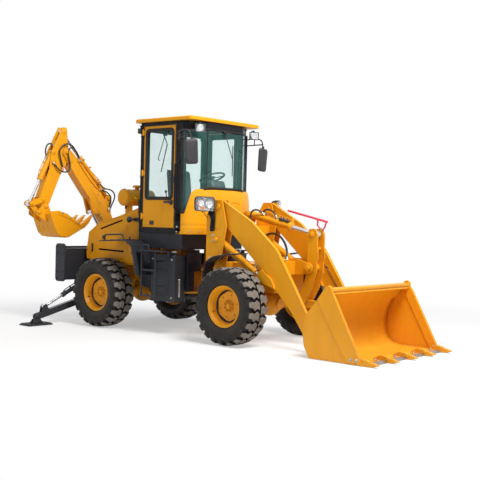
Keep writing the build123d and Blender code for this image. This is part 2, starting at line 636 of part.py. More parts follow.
# Dipper stick: plate-sided head on a slim box, hung in the boom's fork
stick_half = fork_gap - side_gap
head = [(stick_lug[0] - 62, stick_lug[1] + 10), (stick_lug[0] - 40, stick_lug[1] + 70), (stick_lug[0] + 40, stick_lug[1] + 70),
        (stick_lug[0] + 62, stick_lug[1] + 20), (stick_lug[0] + 70, 2900), (boom_tip[0] + 75, 2640), (-800, 2330),
        (-1010, 1860), (bucket_hinge[0] + 55, 1780), (bucket_hinge[0] - 45, 1770), (lever_pin[0] - 52, 1960),
        (-1010, 2420), (-990, 2640), (-960, 2730)]
stick = plate("x", head, swing_x - stick_half, swing_x + stick_half)
lug_room = [(stick_lug[0] - 200, stick_lug[1] + 200), (stick_lug[0] - 200, stick_lug[1] - 150),
            (stick_lug[0] + 30, stick_lug[1] - 165), (stick_lug[0] + 200, stick_lug[1] - 200),
            (stick_lug[0] + 200, stick_lug[1] + 200)]
stick -= plate("x", lug_room, swing_x - 43, swing_x + 43)
stick -= disc("x", boom_tip, swing_x - 200, swing_x + 200, hoe_pin + pin_gap)
ram_room = [(-1300, 2900), (-885, 2800), (-880, 2640), (-985, 2300), (-1300, 2300)]
stick -= plate("x", ram_room, swing_x - 46, swing_x + 46)
stick += disc("x", dipper_ram_pin, swing_x - stick_half, swing_x + stick_half, 22)
lever_in = stick_half + 4
lever_thick = 16
lever_pin_half = lever_in + lever_thick + 4
ear_in = lever_pin_half + 6
ear_thick = 20
hinge_pin_half = ear_in + ear_thick + 6
stick += disc("x", lever_pin, swing_x - lever_pin_half, swing_x + lever_pin_half, 24)
stick += disc("x", bucket_hinge, swing_x - hinge_pin_half, swing_x + hinge_pin_half, 24)
rear("dipper_stick", stick)
rear("bucket_ram_barrel", ram_barrel("x", dipper_ram, swing_x))
rear("bucket_ram_rod", ram_rod("x", dipper_ram, swing_x))

# Tipping lever pair beside the stick, and the curl link to the bucket
lever = limb("x", lever_pin, crank_pin, swing_x + lever_in, swing_x + lever_in + lever_thick, 42, 40)
lever += limb("x", lever_pin, crank_pin, swing_x - lever_in - lever_thick, swing_x - lever_in, 42, 40)
lever -= disc("x", lever_pin, swing_x - 200, swing_x + 200, 24 + pin_gap)
lever += disc("x", crank_pin, swing_x + 35 + side_gap, swing_x + lever_pin_half, 20)
lever += disc("x", crank_pin, swing_x - lever_pin_half, swing_x - 35 - side_gap, 20)
rear("tipping_levers", lever)
link_in = 35 + side_gap
link_out = stick_half + 1
curl = limb("x", crank_pin, curl_pin, swing_x + link_in, swing_x + link_out, 38, 36)
curl += limb("x", crank_pin, curl_pin, swing_x - link_out, swing_x - link_in, 38, 36)
curl -= disc("x", crank_pin, swing_x - 200, swing_x + 200, 20 + pin_gap)
curl += disc("x", curl_pin, swing_x - link_out, swing_x + link_out, 20)
rear("curl_link", curl)

# Backhoe bucket: scoop with side plates, ears and three teeth
hoe_side = [(-1075, 1745), (-955, 1757), (-790, 1716), (-460, 1520), (-430, 1492), (-745, 1330), (-900, 1338), (-985, 1400),
            (-1035, 1520), (-1112, 1700)]
hoe_hollow = [(-1050, 1900), (-1078, 1700), (-1012, 1535), (-965, 1420), (-890, 1362), (-755, 1354), (-445, 1512),
              (-300, 1600), (-600, 1900)]
hoe_bucket = plate("x", hoe_side, swing_x - hoe_bucket_half, swing_x + hoe_bucket_half)
hoe_bucket -= plate("x", hoe_hollow, swing_x - hoe_bucket_half + 14, swing_x + hoe_bucket_half - 14)
ear = [(bucket_hinge[0] + 62, bucket_hinge[1] + 10), (bucket_hinge[0] + 20, bucket_hinge[1] + 52), (bucket_hinge[0] - 30, bucket_hinge[1] + 46),
       (curl_pin[0] - 52, curl_pin[1] + 12), (curl_pin[0] - 40, curl_pin[1] - 40), (-1050, 1560), (-1000, 1720)]
for side in (-1, 1):
    inner = swing_x + side * ear_in
    outer = swing_x + side * (ear_in + ear_thick)
    hoe_bucket += plate("x", ear, min(inner, outer), max(inner, outer))
hoe_bucket -= disc("x", bucket_hinge, swing_x - 150, swing_x + 150, 24 + pin_gap)
hoe_bucket += disc("x", curl_pin, swing_x - ear_in - 30, swing_x - link_out - side_gap, 20)
hoe_bucket += disc("x", curl_pin, swing_x + link_out + side_gap, swing_x + ear_in + 30, 20)
tooth = [(-520, 1478), (-420, 1478), (-320, 1560), (-232, 1702), (-372, 1612), (-500, 1520)]
for tooth_x in (-190, 0, 190):
    hoe_bucket += plate("x", tooth, swing_x + tooth_x - 32, swing_x + tooth_x + 32)
rear("backhoe_bucket", hoe_bucket)


# Stabilizers: leg, foot pad and ram on each side
leg_ram = Ram(leg_ram_base, leg_ram_eye, 720, 33, 20, 20, leg_ram_width, 46, 330)
leg = limb("x", leg_pivot, leg_foot, leg_x - leg_thick / 2, leg_x + leg_thick / 2, 48, 46)
leg_slot = [(leg_ram_eye[0] - 75, leg_ram_eye[1] + 90), (leg_ram_eye[0] - 75, leg_ram_eye[1] - 84),
            (leg_ram_eye[0] + 75, leg_ram_eye[1] - 76), (leg_ram_eye[0] + 175, leg_ram_eye[1] + 90)]
ear_plate = [(leg_ram_eye[0] - 48, leg_ram_eye[1] + 8), (leg_ram_eye[0] - 14, leg_ram_eye[1] + 42), (leg_ram_eye[0] + 28, leg_ram_eye[1] + 30),
             (leg_ram_eye[0] + 70, leg_ram_eye[1] - 70), (leg_ram_eye[0] - 70, leg_ram_eye[1] - 96)]
leg += plate("x", ear_plate, leg_x - leg_thick / 2, leg_x + leg_thick / 2)
leg -= plate("x", leg_slot, leg_x - 26, leg_x + 26)
leg -= disc("x", leg_pivot, leg_x - 100, leg_x + 100, 24 + pin_gap)
foot_slot = [(leg_foot[0] - 90, leg_foot[1] - 90), (leg_foot[0] + 75, leg_foot[1] - 90), (leg_foot[0] + 60, leg_foot[1] + 90),
             (leg_foot[0] - 90, leg_foot[1] + 90)]
leg -= plate("x", foot_slot, leg_x - 19, leg_x + 19)
leg -= disc("x", leg_foot, leg_x - 100, leg_x + 100, 18 + pin_gap)
rear("stabilizer_leg_right", leg)
rear("stabilizer_leg_left", mirrored(leg))
rear("stabilizer_ram_barrel_right", ram_barrel("x", leg_ram, leg_x))
rear("stabilizer_ram_barrel_left", mirrored(ram_barrel("x", leg_ram, leg_x)))
rear("stabilizer_ram_rod_right", ram_rod("x", leg_ram, leg_x))
rear("stabilizer_ram_rod_left", mirrored(ram_rod("x", leg_ram, leg_x)))
pad_low = 4
pad = plate("x", [(-1760, pad_low), (-1330, pad_low), (-1330, 22), (-1760, 22)], leg_x - 130, leg_x + 130)
pad += limb("x", (leg_foot[0], 40), leg_foot, leg_x - 16, leg_x + 16, 60, 34)
pad += disc("x", leg_foot, leg_x - leg_thick / 2 - 8, leg_x + leg_thick / 2 + 8, 18)
pad -= block(leg_x - 200, leg_x + 200, -2000, 0, -100, pad_low)
rear("stabilizer_pad_right", pad)
rear("stabilizer_pad_left", mirrored(pad))

# Stabilizer cheeks: plates in front of and behind the legs, with their pins
rail_edge = -rail_y - rail_thick - seat_gap
cheek_outline = [(-520, 640), (-500, 800), (rail_edge, 800), (rail_edge, rail_low - seat_gap),
                 (-240, rail_low - seat_gap), (-240, 400), (-300, 370), (-380, 380), (-470, 560)]
cheeks = plate("x", cheek_outline, leg_front, leg_front + cheek_thick)
cheeks += plate("x", cheek_outline, beam_front - cheek_thick, leg_rear - side_gap)
cheeks += disc("x", leg_pivot, beam_front - 4, leg_front + cheek_thick + 6, 24)
cheeks += disc("x", leg_ram_base, beam_front - 4, leg_front + cheek_thick + 6, 20)
cross_tie = block(leg_front, leg_front + cheek_thick, -250, 250, 560, rail_low - seat_gap)
rear("side_shift_frame", beam + both(cheeks) + cross_tie)


# Front unit: centre frame, tongue to the articulation joint, and the two towers
tower_out = 620
tower_in = 470
tower_plate = 20
tower_side = [(-672, 1740), (-542, 1950), (-392, 1950), (-302, 1595), (-402, 1090), (-640, 970), (-672, 1090)]
front_rear = -640
front_end = 340
tongue = []
for low, high in tongue_plates:
    joint = flat([(front_rear + 20, -190), (pivot_from_front, -joint_radius), (pivot_from_front, joint_radius),
                  (front_rear + 20, 190)], low, high)
    joint += Pos(pivot_from_front, 0, (low + high) / 2) * Cylinder(joint_radius, high - low)
    joint -= Pos(pivot_from_front, 0, (low + high) / 2) * Cylinder(hinge_pin_radius + pin_gap, high - low + 2)
    tongue.append(joint)
front_frame = both(block(front_rear, front_end, rail_y, rail_y + rail_thick, rail_low, 1080))
front_frame += block(front_rear, front_rear + 30, -rail_y, rail_y, tongue_plates[0][0], 1080)
front_frame += both(block(front_rear, front_rear + 60, 190, rail_y + rail_thick, tongue_plates[0][0], rail_low))
front_frame += block(front_end - 30, front_end, -rail_y, rail_y, rail_low, 1080)
front_frame += block(front_rear, front_end, -rail_y, rail_y, 1050, 1080)
for joint in tongue:
    front_frame += joint
tower = plate("y", tower_side, -tower_out, -tower_out + tower_plate)
tower += plate("y", tower_side, -tower_in - tower_plate, -tower_in)
tower += block(-665, -640, -tower_out + tower_plate, -tower_in - tower_plate, 1090, 1740)
tower += block(-640, -420, -tower_in, -rail_y - rail_thick, 1000, 1080)
tower += disc("y", arm_pivot, -tower_out - 12, -tower_in + 12, loader_pin + 6)
lift_base = (-482, 1400)
tower += disc("y", lift_base, -tower_out - 10, -tower_in + 10, loader_pin)
front_frame += both(tower)
bridge = block(-600, -420, -tower_in, tower_in, 1480, 1600)
front_frame += bridge
tilt_base = (-372, 1765)
lift_ram = Ram(lift_base, (318, 905), 796, 46, 27, loader_pin, 92, 76, 100)
tilt_ram = Ram(tilt_base, rocker_top, 760, 52, 30, loader_pin, 104, 90, 400)
tilt_fork = [(-590, 1560), (-560, 1740), (tilt_base[0] - 40, tilt_base[1] + 50), (tilt_base[0] + 20, tilt_base[1] + 50),
             (tilt_base[0] + 54, tilt_base[1]), (tilt_base[0] + 30, tilt_base[1] - 60), (-430, 1500)]
front_frame += fork("y", 0, tilt_ram.base_width, tilt_fork, 22)
front_frame += disc("y", tilt_base, -88, 88, loader_pin)
front("front_frame", front_frame)

# Front mudguards on the towers
guard = [(-560, 728), (-545, 950), (-510, 1090), (-372, 1172), (-114, 1212), (100, 1232)]
guard_back = [(100, 1223), (-114, 1203), (-369, 1163), (-502, 1083), (-536, 948), (-551, 728)]
front_guard = plate("y", guard + guard_back, -810, -tower_out - seat_gap)
front("front_mudguards", both(front_guard))

# Headlamps on brackets behind the towers' tops
lamp_x = -590
lamp = block(lamp_x - 60, lamp_x + 60, -920, -680, 1790, 1980)
lamp = fillet(lamp.edges().filter_by(Axis.X), 40)
bracket = plate("y", [(-640, 1560), (-600, 1560), (-600, 1700), (-560, 1800), (-600, 1800), (-640, 1700)],
                -tower_out - 10, -tower_out - seat_gap)
bracket += block(-620, -560, -760, -tower_out - seat_gap, 1780, 1796)
front("headlamps", both(lamp + bracket))

# Loader arms: plate arms, cross beam and the rocker's bracket
arm_in = arm_y - arm_thick / 2
arm_out = arm_y + arm_thick / 2
arm_side = [(-530, 1900), (-470, 1945), (-412, 1940), (108, 1660), (548, 1300), (818, 890), (1068, 490), (1262, 290),
            (1210, 208), (1048, 200), (828, 490), (338, 1000), (-322, 1570), (-520, 1800)]
arm = plate("y", arm_side, -arm_out, -arm_in)
arm += disc("y", bucket_pin, -arm_out, -arm_in, loader_pin + 16)
arm -= disc("y", arm_pivot, -700, -400, loader_pin + 6 + pin_gap)
lift_eye_ears = [(250, 905), (275, 860), (340, 852), (560, 780), (500, 900), (330, 1030), (262, 985)]
arm += fork("y", -arm_y, lift_ram.eye_width, lift_eye_ears, 16)
lug_out = lift_ram.eye_width / 2 + side_gap + 16
lug_root = [(412, 832), (560, 780), (500, 900), (412, 966)]
arm += plate("y", lug_root, -arm_y - lug_out, -arm_y + lug_out)
lift_room = [(230, 1000), (230, 820), (400, 820), (395, 905), (350, 985)]
arm -= plate("y", lift_room, -arm_y - 41, -arm_y + 41)
arm += disc("y", bucket_pin, -arm_out - 62, -arm_in + 62, loader_pin)
arms = both(arm)
cross = block(368, 528, -arm_in, arm_in, 960, 1140)
arms += cross
rocker_half = 90
bracket_in = rocker_half + side_gap
bracket_side = [(380, 1140), (300, 1178), (560, 1175), (720, 1128), (800, 1100), (815, 1020), (760, 990), (600, 960),
                (400, 960)]
for side in (-1, 1):
    inner = side * bracket_in
    outer = side * (bracket_in + 24)
    arms += plate("y", bracket_side, min(inner, outer), max(inner, outer))
arms += disc("y", rocker_pivot, -bracket_in - 40, bracket_in + 40, loader_pin)
front("loader_arms", arms)
front("lift_ram_barrels", both(ram_barrel("y", lift_ram, -arm_y)))
front("lift_ram_rods", both(ram_rod("y", lift_ram, -arm_y)))
front("tilt_ram_barrel", ram_barrel("y", tilt_ram, 0))
front("tilt_ram_rod", ram_rod("y", tilt_ram, 0))

# Tilt rocker: two sickle plates, swept back below the pivot
rocker_side = [(700, 1500), (730, 1585), (820, 1590), (862, 1520), (858, 1000), (790, 780), (650, 520), (590, 505),
               (520, 560), (530, 620), (640, 800), (690, 960), (706, 1150)]
rocker = plate("y", rocker_side, rocker_half - 26, rocker_half)
rocker += plate("y", rocker_side, -rocker_half, -rocker_half + 26)
rocker += ring("y", rocker_pivot, -rocker_half, rocker_half, loader_pin + 24, loader_pin + pin_gap)
rocker -= disc("y", rocker_pivot, -200, 200, loader_pin + pin_gap)
rocker += block(742, 822, -rocker_half, rocker_half, 1310, 1340)
for side in (-1, 1):
    inner = side * (tilt_ram.eye_width / 2 + side_gap)
    outer = side * (rocker_half + 14)
    rocker += disc("y", rocker_top, min(inner, outer), max(inner, outer), loader_pin)
    rocker += disc("y", rocker_low, min(inner, outer), max(inner, outer), loader_pin)
front("tilt_rocker", rocker)

# Link from the rocker to the bucket
link_half = tilt_ram.eye_width / 2
link = limb("y", rocker_low, link_pin, -link_half + 12, link_half - 12, 52, 50)
link += disc("y", rocker_low, -link_half, link_half, 52)
link += disc("y", link_pin, -link_half, link_half, 50)
link -= disc("y", link_pin, -200, 200, loader_pin + pin_gap)
front("tilt_link", link)

# Loader bucket: one rolled shell, side plates, hinge ears, edge and teeth
loader_low = 5
loader_floor = 26
bucket_side = [(1392, loader_low), (1310, 150), (1288, 300), (1318, 530), (1628, 880), (1698, 880), (1748, 790),
               (2118, 110), (2168, loader_low)]
bucket_hollow = [(1440, loader_floor), (1345, 160), (1322, 300), (1350, 510), (1690, 905), (2600, 905),
                 (2600, loader_floor)]
loader_bucket = plate("y", bucket_side, -bucket_half, bucket_half)
loader_bucket -= plate("y", bucket_hollow, -bucket_half + 18, bucket_half - 18)
loader_bucket += plate("y", [(1650, 800), (1635, 835), (1690, 850), (1705, 812)], -bucket_half + 18, bucket_half - 18)
hinge_ear = [(1190, 230), (1200, 300), (1262, 322), (1340, 500), (1360, 300), (1340, 150), (1300, 180), (1225, 190)]
for side in (-1, 1):
    for t in (arm_in - 32, arm_out + 6):
        inner = side * t
        outer = side * (t + 26)
        loader_bucket += plate("y", hinge_ear, min(inner, outer), max(inner, outer))
loader_bucket -= both(disc("y", bucket_pin, -arm_out - 80, -arm_in + 80, loader_pin + pin_gap))
link_ear = [(1160, 540), (1190, 590), (1240, 592), (1400, 560), (1340, 400), (1180, 490)]
link_in_y = link_half + side_gap
for side in (-1, 1):
    inner = side * link_in_y
    outer = side * (link_in_y + 24)
    loader_bucket += plate("y", link_ear, min(inner, outer), max(inner, outer))
loader_bucket += disc("y", link_pin, -link_in_y - 36, link_in_y + 36, loader_pin)
edge = [(2050, loader_low), (2235, loader_low), (2235, 14), (2190, 30), (2050, 30)]
loader_bucket += plate("y", edge, -bucket_half, bucket_half)
tooth_side = [(2130, 3.5), (2300, 3.5), (2368, 22), (2368, 32), (2290, 54), (2130, 62)]
tooth_count = 5
tooth_half = 34
tooth_span = bucket_half - tooth_half
for index in range(tooth_count):
    centre = -tooth_span + 2 * tooth_span * index / (tooth_count - 1)
    loader_bucket += plate("y", tooth_side, centre - tooth_half, centre + tooth_half)
front("loader_bucket", loader_bucket)

for name, shape in parts.items():
    export_step(shape, f"parts/{name}.step")
print(len(parts), "sub-parts written")
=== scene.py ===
import bpy
import bmesh
import math
import random
from mathutils import Matrix, Vector


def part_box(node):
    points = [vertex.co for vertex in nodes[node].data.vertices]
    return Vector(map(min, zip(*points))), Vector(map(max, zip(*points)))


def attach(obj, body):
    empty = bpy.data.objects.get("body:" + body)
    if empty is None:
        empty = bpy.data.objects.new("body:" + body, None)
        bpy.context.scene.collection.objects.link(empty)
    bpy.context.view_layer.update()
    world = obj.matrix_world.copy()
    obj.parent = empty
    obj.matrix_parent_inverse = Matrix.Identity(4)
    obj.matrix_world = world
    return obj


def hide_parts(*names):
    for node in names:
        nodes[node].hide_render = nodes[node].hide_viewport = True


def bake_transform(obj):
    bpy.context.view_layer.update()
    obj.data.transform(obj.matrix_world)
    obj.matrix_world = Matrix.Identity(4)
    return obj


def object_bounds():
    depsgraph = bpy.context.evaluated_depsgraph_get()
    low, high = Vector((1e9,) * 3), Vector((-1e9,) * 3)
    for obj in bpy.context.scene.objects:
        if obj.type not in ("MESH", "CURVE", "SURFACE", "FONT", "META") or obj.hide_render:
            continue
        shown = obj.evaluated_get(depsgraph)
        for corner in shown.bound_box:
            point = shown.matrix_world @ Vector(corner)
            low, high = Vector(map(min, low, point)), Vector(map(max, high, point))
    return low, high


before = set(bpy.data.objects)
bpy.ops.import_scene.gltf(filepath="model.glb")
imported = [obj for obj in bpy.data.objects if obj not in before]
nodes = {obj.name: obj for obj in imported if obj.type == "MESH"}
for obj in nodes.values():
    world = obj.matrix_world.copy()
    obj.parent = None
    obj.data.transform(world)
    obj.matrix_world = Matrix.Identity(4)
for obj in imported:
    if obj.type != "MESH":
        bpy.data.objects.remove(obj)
cadLow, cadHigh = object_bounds()
random.seed(11)
print("frame loaded,", len(nodes), "nodes")


# Places
def centreOf(node):
    low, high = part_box(node)
    return (low + high) / 2


rearAxleX = centreOf("tyre_rear_right").x
frontAxleX = centreOf("tyre_front_right").x


def rearAt(x, y, z):  # millimetres, x from the rear axle, z from the ground
    return Vector((rearAxleX + x / 1000, y / 1000, z / 1000))


def frontAt(x, y, z):  # the same from the front axle
    return Vector((frontAxleX + x / 1000, y / 1000, z / 1000))


def rearLine(y, points):
    return [rearAt(x, y, z) for x, z in points]


def frontLine(y, points):
    return [frontAt(x, y, z) for x, z in points]


def addToScene(thing):
    bpy.context.scene.collection.objects.link(thing)


# Mesh helpers
def skin(bm, rings, loop=False, caps=True):
    made = [[bm.verts.new(point) for point in ring] for ring in rings]
    count = len(made[0])
    steps = len(made) if loop else len(made) - 1
    for index in range(steps):
        here, there = made[index], made[(index + 1) % len(made)]
        for k in range(count):
            bm.faces.new((here[k], here[(k + 1) % count], there[(k + 1) % count], there[k]))
    if caps and not loop:
        bm.faces.new(list(reversed(made[0])))
        bm.faces.new(made[-1])


def across(axis):  # two directions square to an axis
    axis = Vector(axis).normalized()
    side = axis.cross(Vector((0, 0, 1)))
    if side.length < 0.01:
        side = axis.cross(Vector((0, 1, 0)))
    side.normalize()
    return side, axis.cross(side).normalized()


def turned(bm, profile, origin, axis, steps=24, spin=0.0, caps=True):  # profile holds (along, radius)
    axis = Vector(axis).normalized()
    side, up = across(axis)
    rings = []
    for along, radius in profile:
        ring = []
        for k in range(steps):
            angle = spin + 2 * math.pi * k / steps
            way = side * math.cos(angle) + up * math.sin(angle)
            ring.append(Vector(origin) + axis * along + way * max(radius, 0.0004))
        rings.append(ring)
    skin(bm, rings, caps=caps)


def pipe(bm, points, radius, sides=10, loop=False):
    points = [Vector(p) for p in points]
    count = len(points)
    rings = []
    normal = None
    for k, point in enumerate(points):
        before = points[k - 1] if (k > 0 or loop) else point
        after = points[(k + 1) % count] if (k < count - 1 or loop) else point
        way = (after - before).normalized()
        if normal is None:
            normal = across(way)[0]
        normal = (normal - way * normal.dot(way)).normalized()
        other = way.cross(normal)
        ring = []
        for j in range(sides):
            angle = 2 * math.pi * j / sides
            ring.append(point + (normal * math.cos(angle) + other * math.sin(angle)) * radius)
        rings.append(ring)
    skin(bm, rings, loop=loop)


def seam(bm, points, radius, sides=6):  # a separate bar along each run
    for start, end in zip(points, points[1:]):
        pipe(bm, [start, end], radius, sides)


def turns(count):  # that many angles round a full turn
    return [2 * math.pi * k / count for k in range(count)]


def spoke(angle):  # direction in the upright plane along the machine
    return Vector((math.cos(angle), 0, math.sin(angle)))


def hoop(centre, radius, count):
    return [centre + spoke(a) * radius for a in turns(count)]


def bend(points, radius, steps=5):  # rounds the corners of a run of straight bars
    points = [Vector(p) for p in points]
    line = [points[0]]
    for k in range(1, len(points) - 1):
        before, corner, after = points[k - 1], points[k], points[k + 1]
        back = (before - corner)
        ahead = (after - corner)
        reach = min(radius, back.length * 0.45, ahead.length * 0.45)
        start = corner + back.normalized() * reach
        end = corner + ahead.normalized() * reach
        for j in range(steps + 1):
            t = j / steps
            line.append(start * (1 - t) ** 2 + corner * 2 * t * (1 - t) + end * t * t)
    line.append(points[-1])
    return line


def takeIn(bm, other):
    mesh = bpy.data.meshes.new("loose")
    other.to_mesh(mesh)
    other.free()
    bm.from_mesh(mesh)
    bpy.data.meshes.remove(mesh)


def softBlock(bm, centre, size, edge=0.004, turn=None, rounds=2):
    part = bmesh.new()
    bmesh.ops.create_cube(part, size=1.0)
    bmesh.ops.scale(part, vec=Vector(size), verts=part.verts)
    edge = min(edge, min(size) * 0.45)
    bmesh.ops.bevel(part, geom=part.edges[:], offset=edge, segments=rounds, profile=0.6, affect="EDGES")
    place = Matrix.Translation(Vector(centre))
    if turn is not None:
        place = place @ turn.to_4x4()
    bmesh.ops.transform(part, matrix=place, verts=part.verts)
    takeIn(bm, part)


def cutPlate(bm, outline, depth, edge=0.0015):  # outline of points in one plane, pushed along depth
    part = bmesh.new()
    near = [part.verts.new(Vector(p)) for p in outline]
    face = part.faces.new(near)
    made = bmesh.ops.extrude_face_region(part, geom=[face])
    moved = [item for item in made["geom"] if isinstance(item, bmesh.types.BMVert)]
    bmesh.ops.translate(part, verts=moved, vec=Vector(depth))
    if edge > 0:
        bmesh.ops.bevel(part, geom=part.edges[:], offset=edge, segments=1, affect="EDGES")
    takeIn(bm, part)


def hexBolt(bm, place, axis, size=0.019, washer=True):  # size is across the flats
    axis = Vector(axis).normalized()
    spin = random.uniform(0, math.pi / 3)
    base = 0.0
    if washer:
        turned(bm, [(-0.001, size * 0.72), (0.0022, size * 0.72), (0.003, size * 0.66)], place, axis, 16)
        base = 0.003
    high = size * 0.55
    corner = size * 0.577
    profile = [(base - 0.001, corner), (base + high * 0.82, corner), (base + high, corner * 0.86)]
    turned(bm, profile, place, axis, 6, spin)
    turned(bm, [(base + high * 0.9, corner * 0.42), (base + high * 1.25, corner * 0.42),
                (base + high * 1.35, corner * 0.3)], place, axis, 10)


def boltCircle(bm, centre, axis, radius, count, size=0.019, spin=0.0):
    side, up = across(axis)
    for k in range(count):
        angle = spin + 2 * math.pi * k / count
        hexBolt(bm, Vector(centre) + (side * math.cos(angle) + up * math.sin(angle)) * radius, axis, size)


def pinCap(bm, place, axis, radius, proud=0.010):  # end of a hinge pin: collar, cap, keeper bolt and nipple
    axis = Vector(axis).normalized()
    side, up = across(axis)
    turned(bm, [(-0.004, radius * 1.42), (proud * 0.5, radius * 1.42), (proud * 0.7, radius * 1.34)], place,
           axis, 32)
    turned(bm, [(0, radius), (proud, radius), (proud * 1.25, radius * 0.9)], place, axis, 28)
    turned(bm, [(proud, 0.006), (proud + 0.008, 0.0055), (proud + 0.012, 0.003), (proud + 0.016, 0.004),
                (proud + 0.018, 0.002)], Vector(place) + up * radius * 0.1, axis, 10)
    hexBolt(bm, Vector(place) + side * radius * 1.16 + axis * proud * 0.55, axis, radius * 0.34,
            washer=False)


def bead(bm, start, end, radius=0.005):  # weld bead: short overlapping ripples
    start, end = Vector(start), Vector(end)
    length = (end - start).length
    count = max(4, int(length / (radius * 2.4)))
    rings = []
    way = (end - start).normalized()
    side, up = across(way)
    for k in range(count + 1):
        swell = radius * (0.82 + 0.26 * (k % 2) + random.uniform(-0.06, 0.06))
        point = start.lerp(end, k / count)
        rings.append([point + (side * math.cos(a) + up * math.sin(a)) * swell
                      for a in turns(6)])
    skin(bm, rings)


def makePiece(name, bm, finish, body="rear_unit", sharp=38, flip=True):
    if flip:
        bmesh.ops.recalc_face_normals(bm, faces=bm.faces[:])
    limit = math.radians(sharp)
    for face in bm.faces:
        face.smooth = True
    for edge in bm.edges:
        if len(edge.link_faces) == 2 and edge.calc_face_angle(0.0) > limit:
            edge.smooth = False
    mesh = bpy.data.meshes.new(name)
    bm.to_mesh(mesh)
    bm.free()
    finishes = finish if isinstance(finish, (list, tuple)) else [finish]
    for one in finishes:
        mesh.materials.append(one)
    piece = bpy.data.objects.new(name, mesh)
    addToScene(piece)
    if body is not None:
        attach(piece, body)
    return piece


# Finishes: small helpers for node trees
def addNode(tree, kind, **settings):
    made = tree.nodes.new(kind)
    for key, value in settings.items():
        setattr(made, key, value)
    return made


def plug(tree, value, socket):
    if isinstance(value, bpy.types.NodeSocket):
        tree.links.new(value, socket)
    else:
        socket.default_value = value


def colour4(colour):
    return (colour[0], colour[1], colour[2], 1.0)


def noiseAt(tree, place, scale, detail=3.0, rough=0.55, stretch=None):
    if stretch is not None:
        mapping = addNode(tree, "ShaderNodeMapping")
        mapping.inputs["Scale"].default_value = stretch
        plug(tree, place, mapping.inputs["Vector"])
        place = mapping.outputs["Vector"]
    made = addNode(tree, "ShaderNodeTexNoise")
    made.inputs["Scale"].default_value = scale
    made.inputs["Detail"].default_value = detail
    made.inputs["Roughness"].default_value = rough
    plug(tree, place, made.inputs["Vector"])
    return made.outputs["Fac"]


def span(tree, value, low, high, toLow=0.0, toHigh=1.0):
    made = addNode(tree, "ShaderNodeMapRange", clamp=True)
    plug(tree, value, made.inputs["Value"])
    for name, number in (("From Min", low), ("From Max", high), ("To Min", toLow), ("To Max", toHigh)):
        made.inputs[name].default_value = number
    return made.outputs["Result"]


def sums(tree, operation, first, second=0.0):
    made = addNode(tree, "ShaderNodeMath", operation=operation)
    plug(tree, first, made.inputs[0])
    plug(tree, second, made.inputs[1])
    return made.outputs[0]


def blendColour(tree, factor, first, second):
    made = addNode(tree, "ShaderNodeMix", data_type="RGBA")
    plug(tree, factor, made.inputs["Factor"])
    for socket, value in ((made.inputs[6], first), (made.inputs[7], second)):
        plug(tree, value if isinstance(value, bpy.types.NodeSocket) else colour4(value), socket)
    return made.outputs[2]


def bumped(tree, height, strength, distance, under=None):
    made = addNode(tree, "ShaderNodeBump")
    made.inputs["Strength"].default_value = strength
    made.inputs["Distance"].default_value = distance
    plug(tree, height, made.inputs["Height"])
    if under is not None:
        plug(tree, under, made.inputs["Normal"])
    return made.outputs["Normal"]


def startFinish(name):
    finish = bpy.data.materials.new(name)
    finish.use_nodes = True
    tree = finish.node_tree
    tree.nodes.clear()
    shader = addNode(tree, "ShaderNodeBsdfPrincipled")
    out = addNode(tree, "ShaderNodeOutputMaterial")
    tree.links.new(shader.outputs["BSDF"], out.inputs["Surface"])
    place = addNode(tree, "ShaderNodeTexCoord").outputs["Object"]
    return finish, tree, shader, place


def softEdge(tree, radius):  # rounded corner for the light, and how near an edge each spot is
    rounded = addNode(tree, "ShaderNodeBevel", samples=4)
    rounded.inputs["Radius"].default_value = radius
    flat = addNode(tree, "ShaderNodeNewGeometry")
    facing = addNode(tree, "ShaderNodeVectorMath", operation="DOT_PRODUCT")
    tree.links.new(rounded.outputs["Normal"], facing.inputs[0])
    tree.links.new(flat.outputs["Normal"], facing.inputs[1])
    near = sums(tree, "SUBTRACT", 1.0, facing.outputs["Value"])
    return rounded.outputs["Normal"], near


def crevice(tree, distance):
    made = addNode(tree, "ShaderNodeAmbientOcclusion", samples=4)
    made.inputs["Distance"].default_value = distance
    return sums(tree, "SUBTRACT", 1.0, made.outputs["AO"])
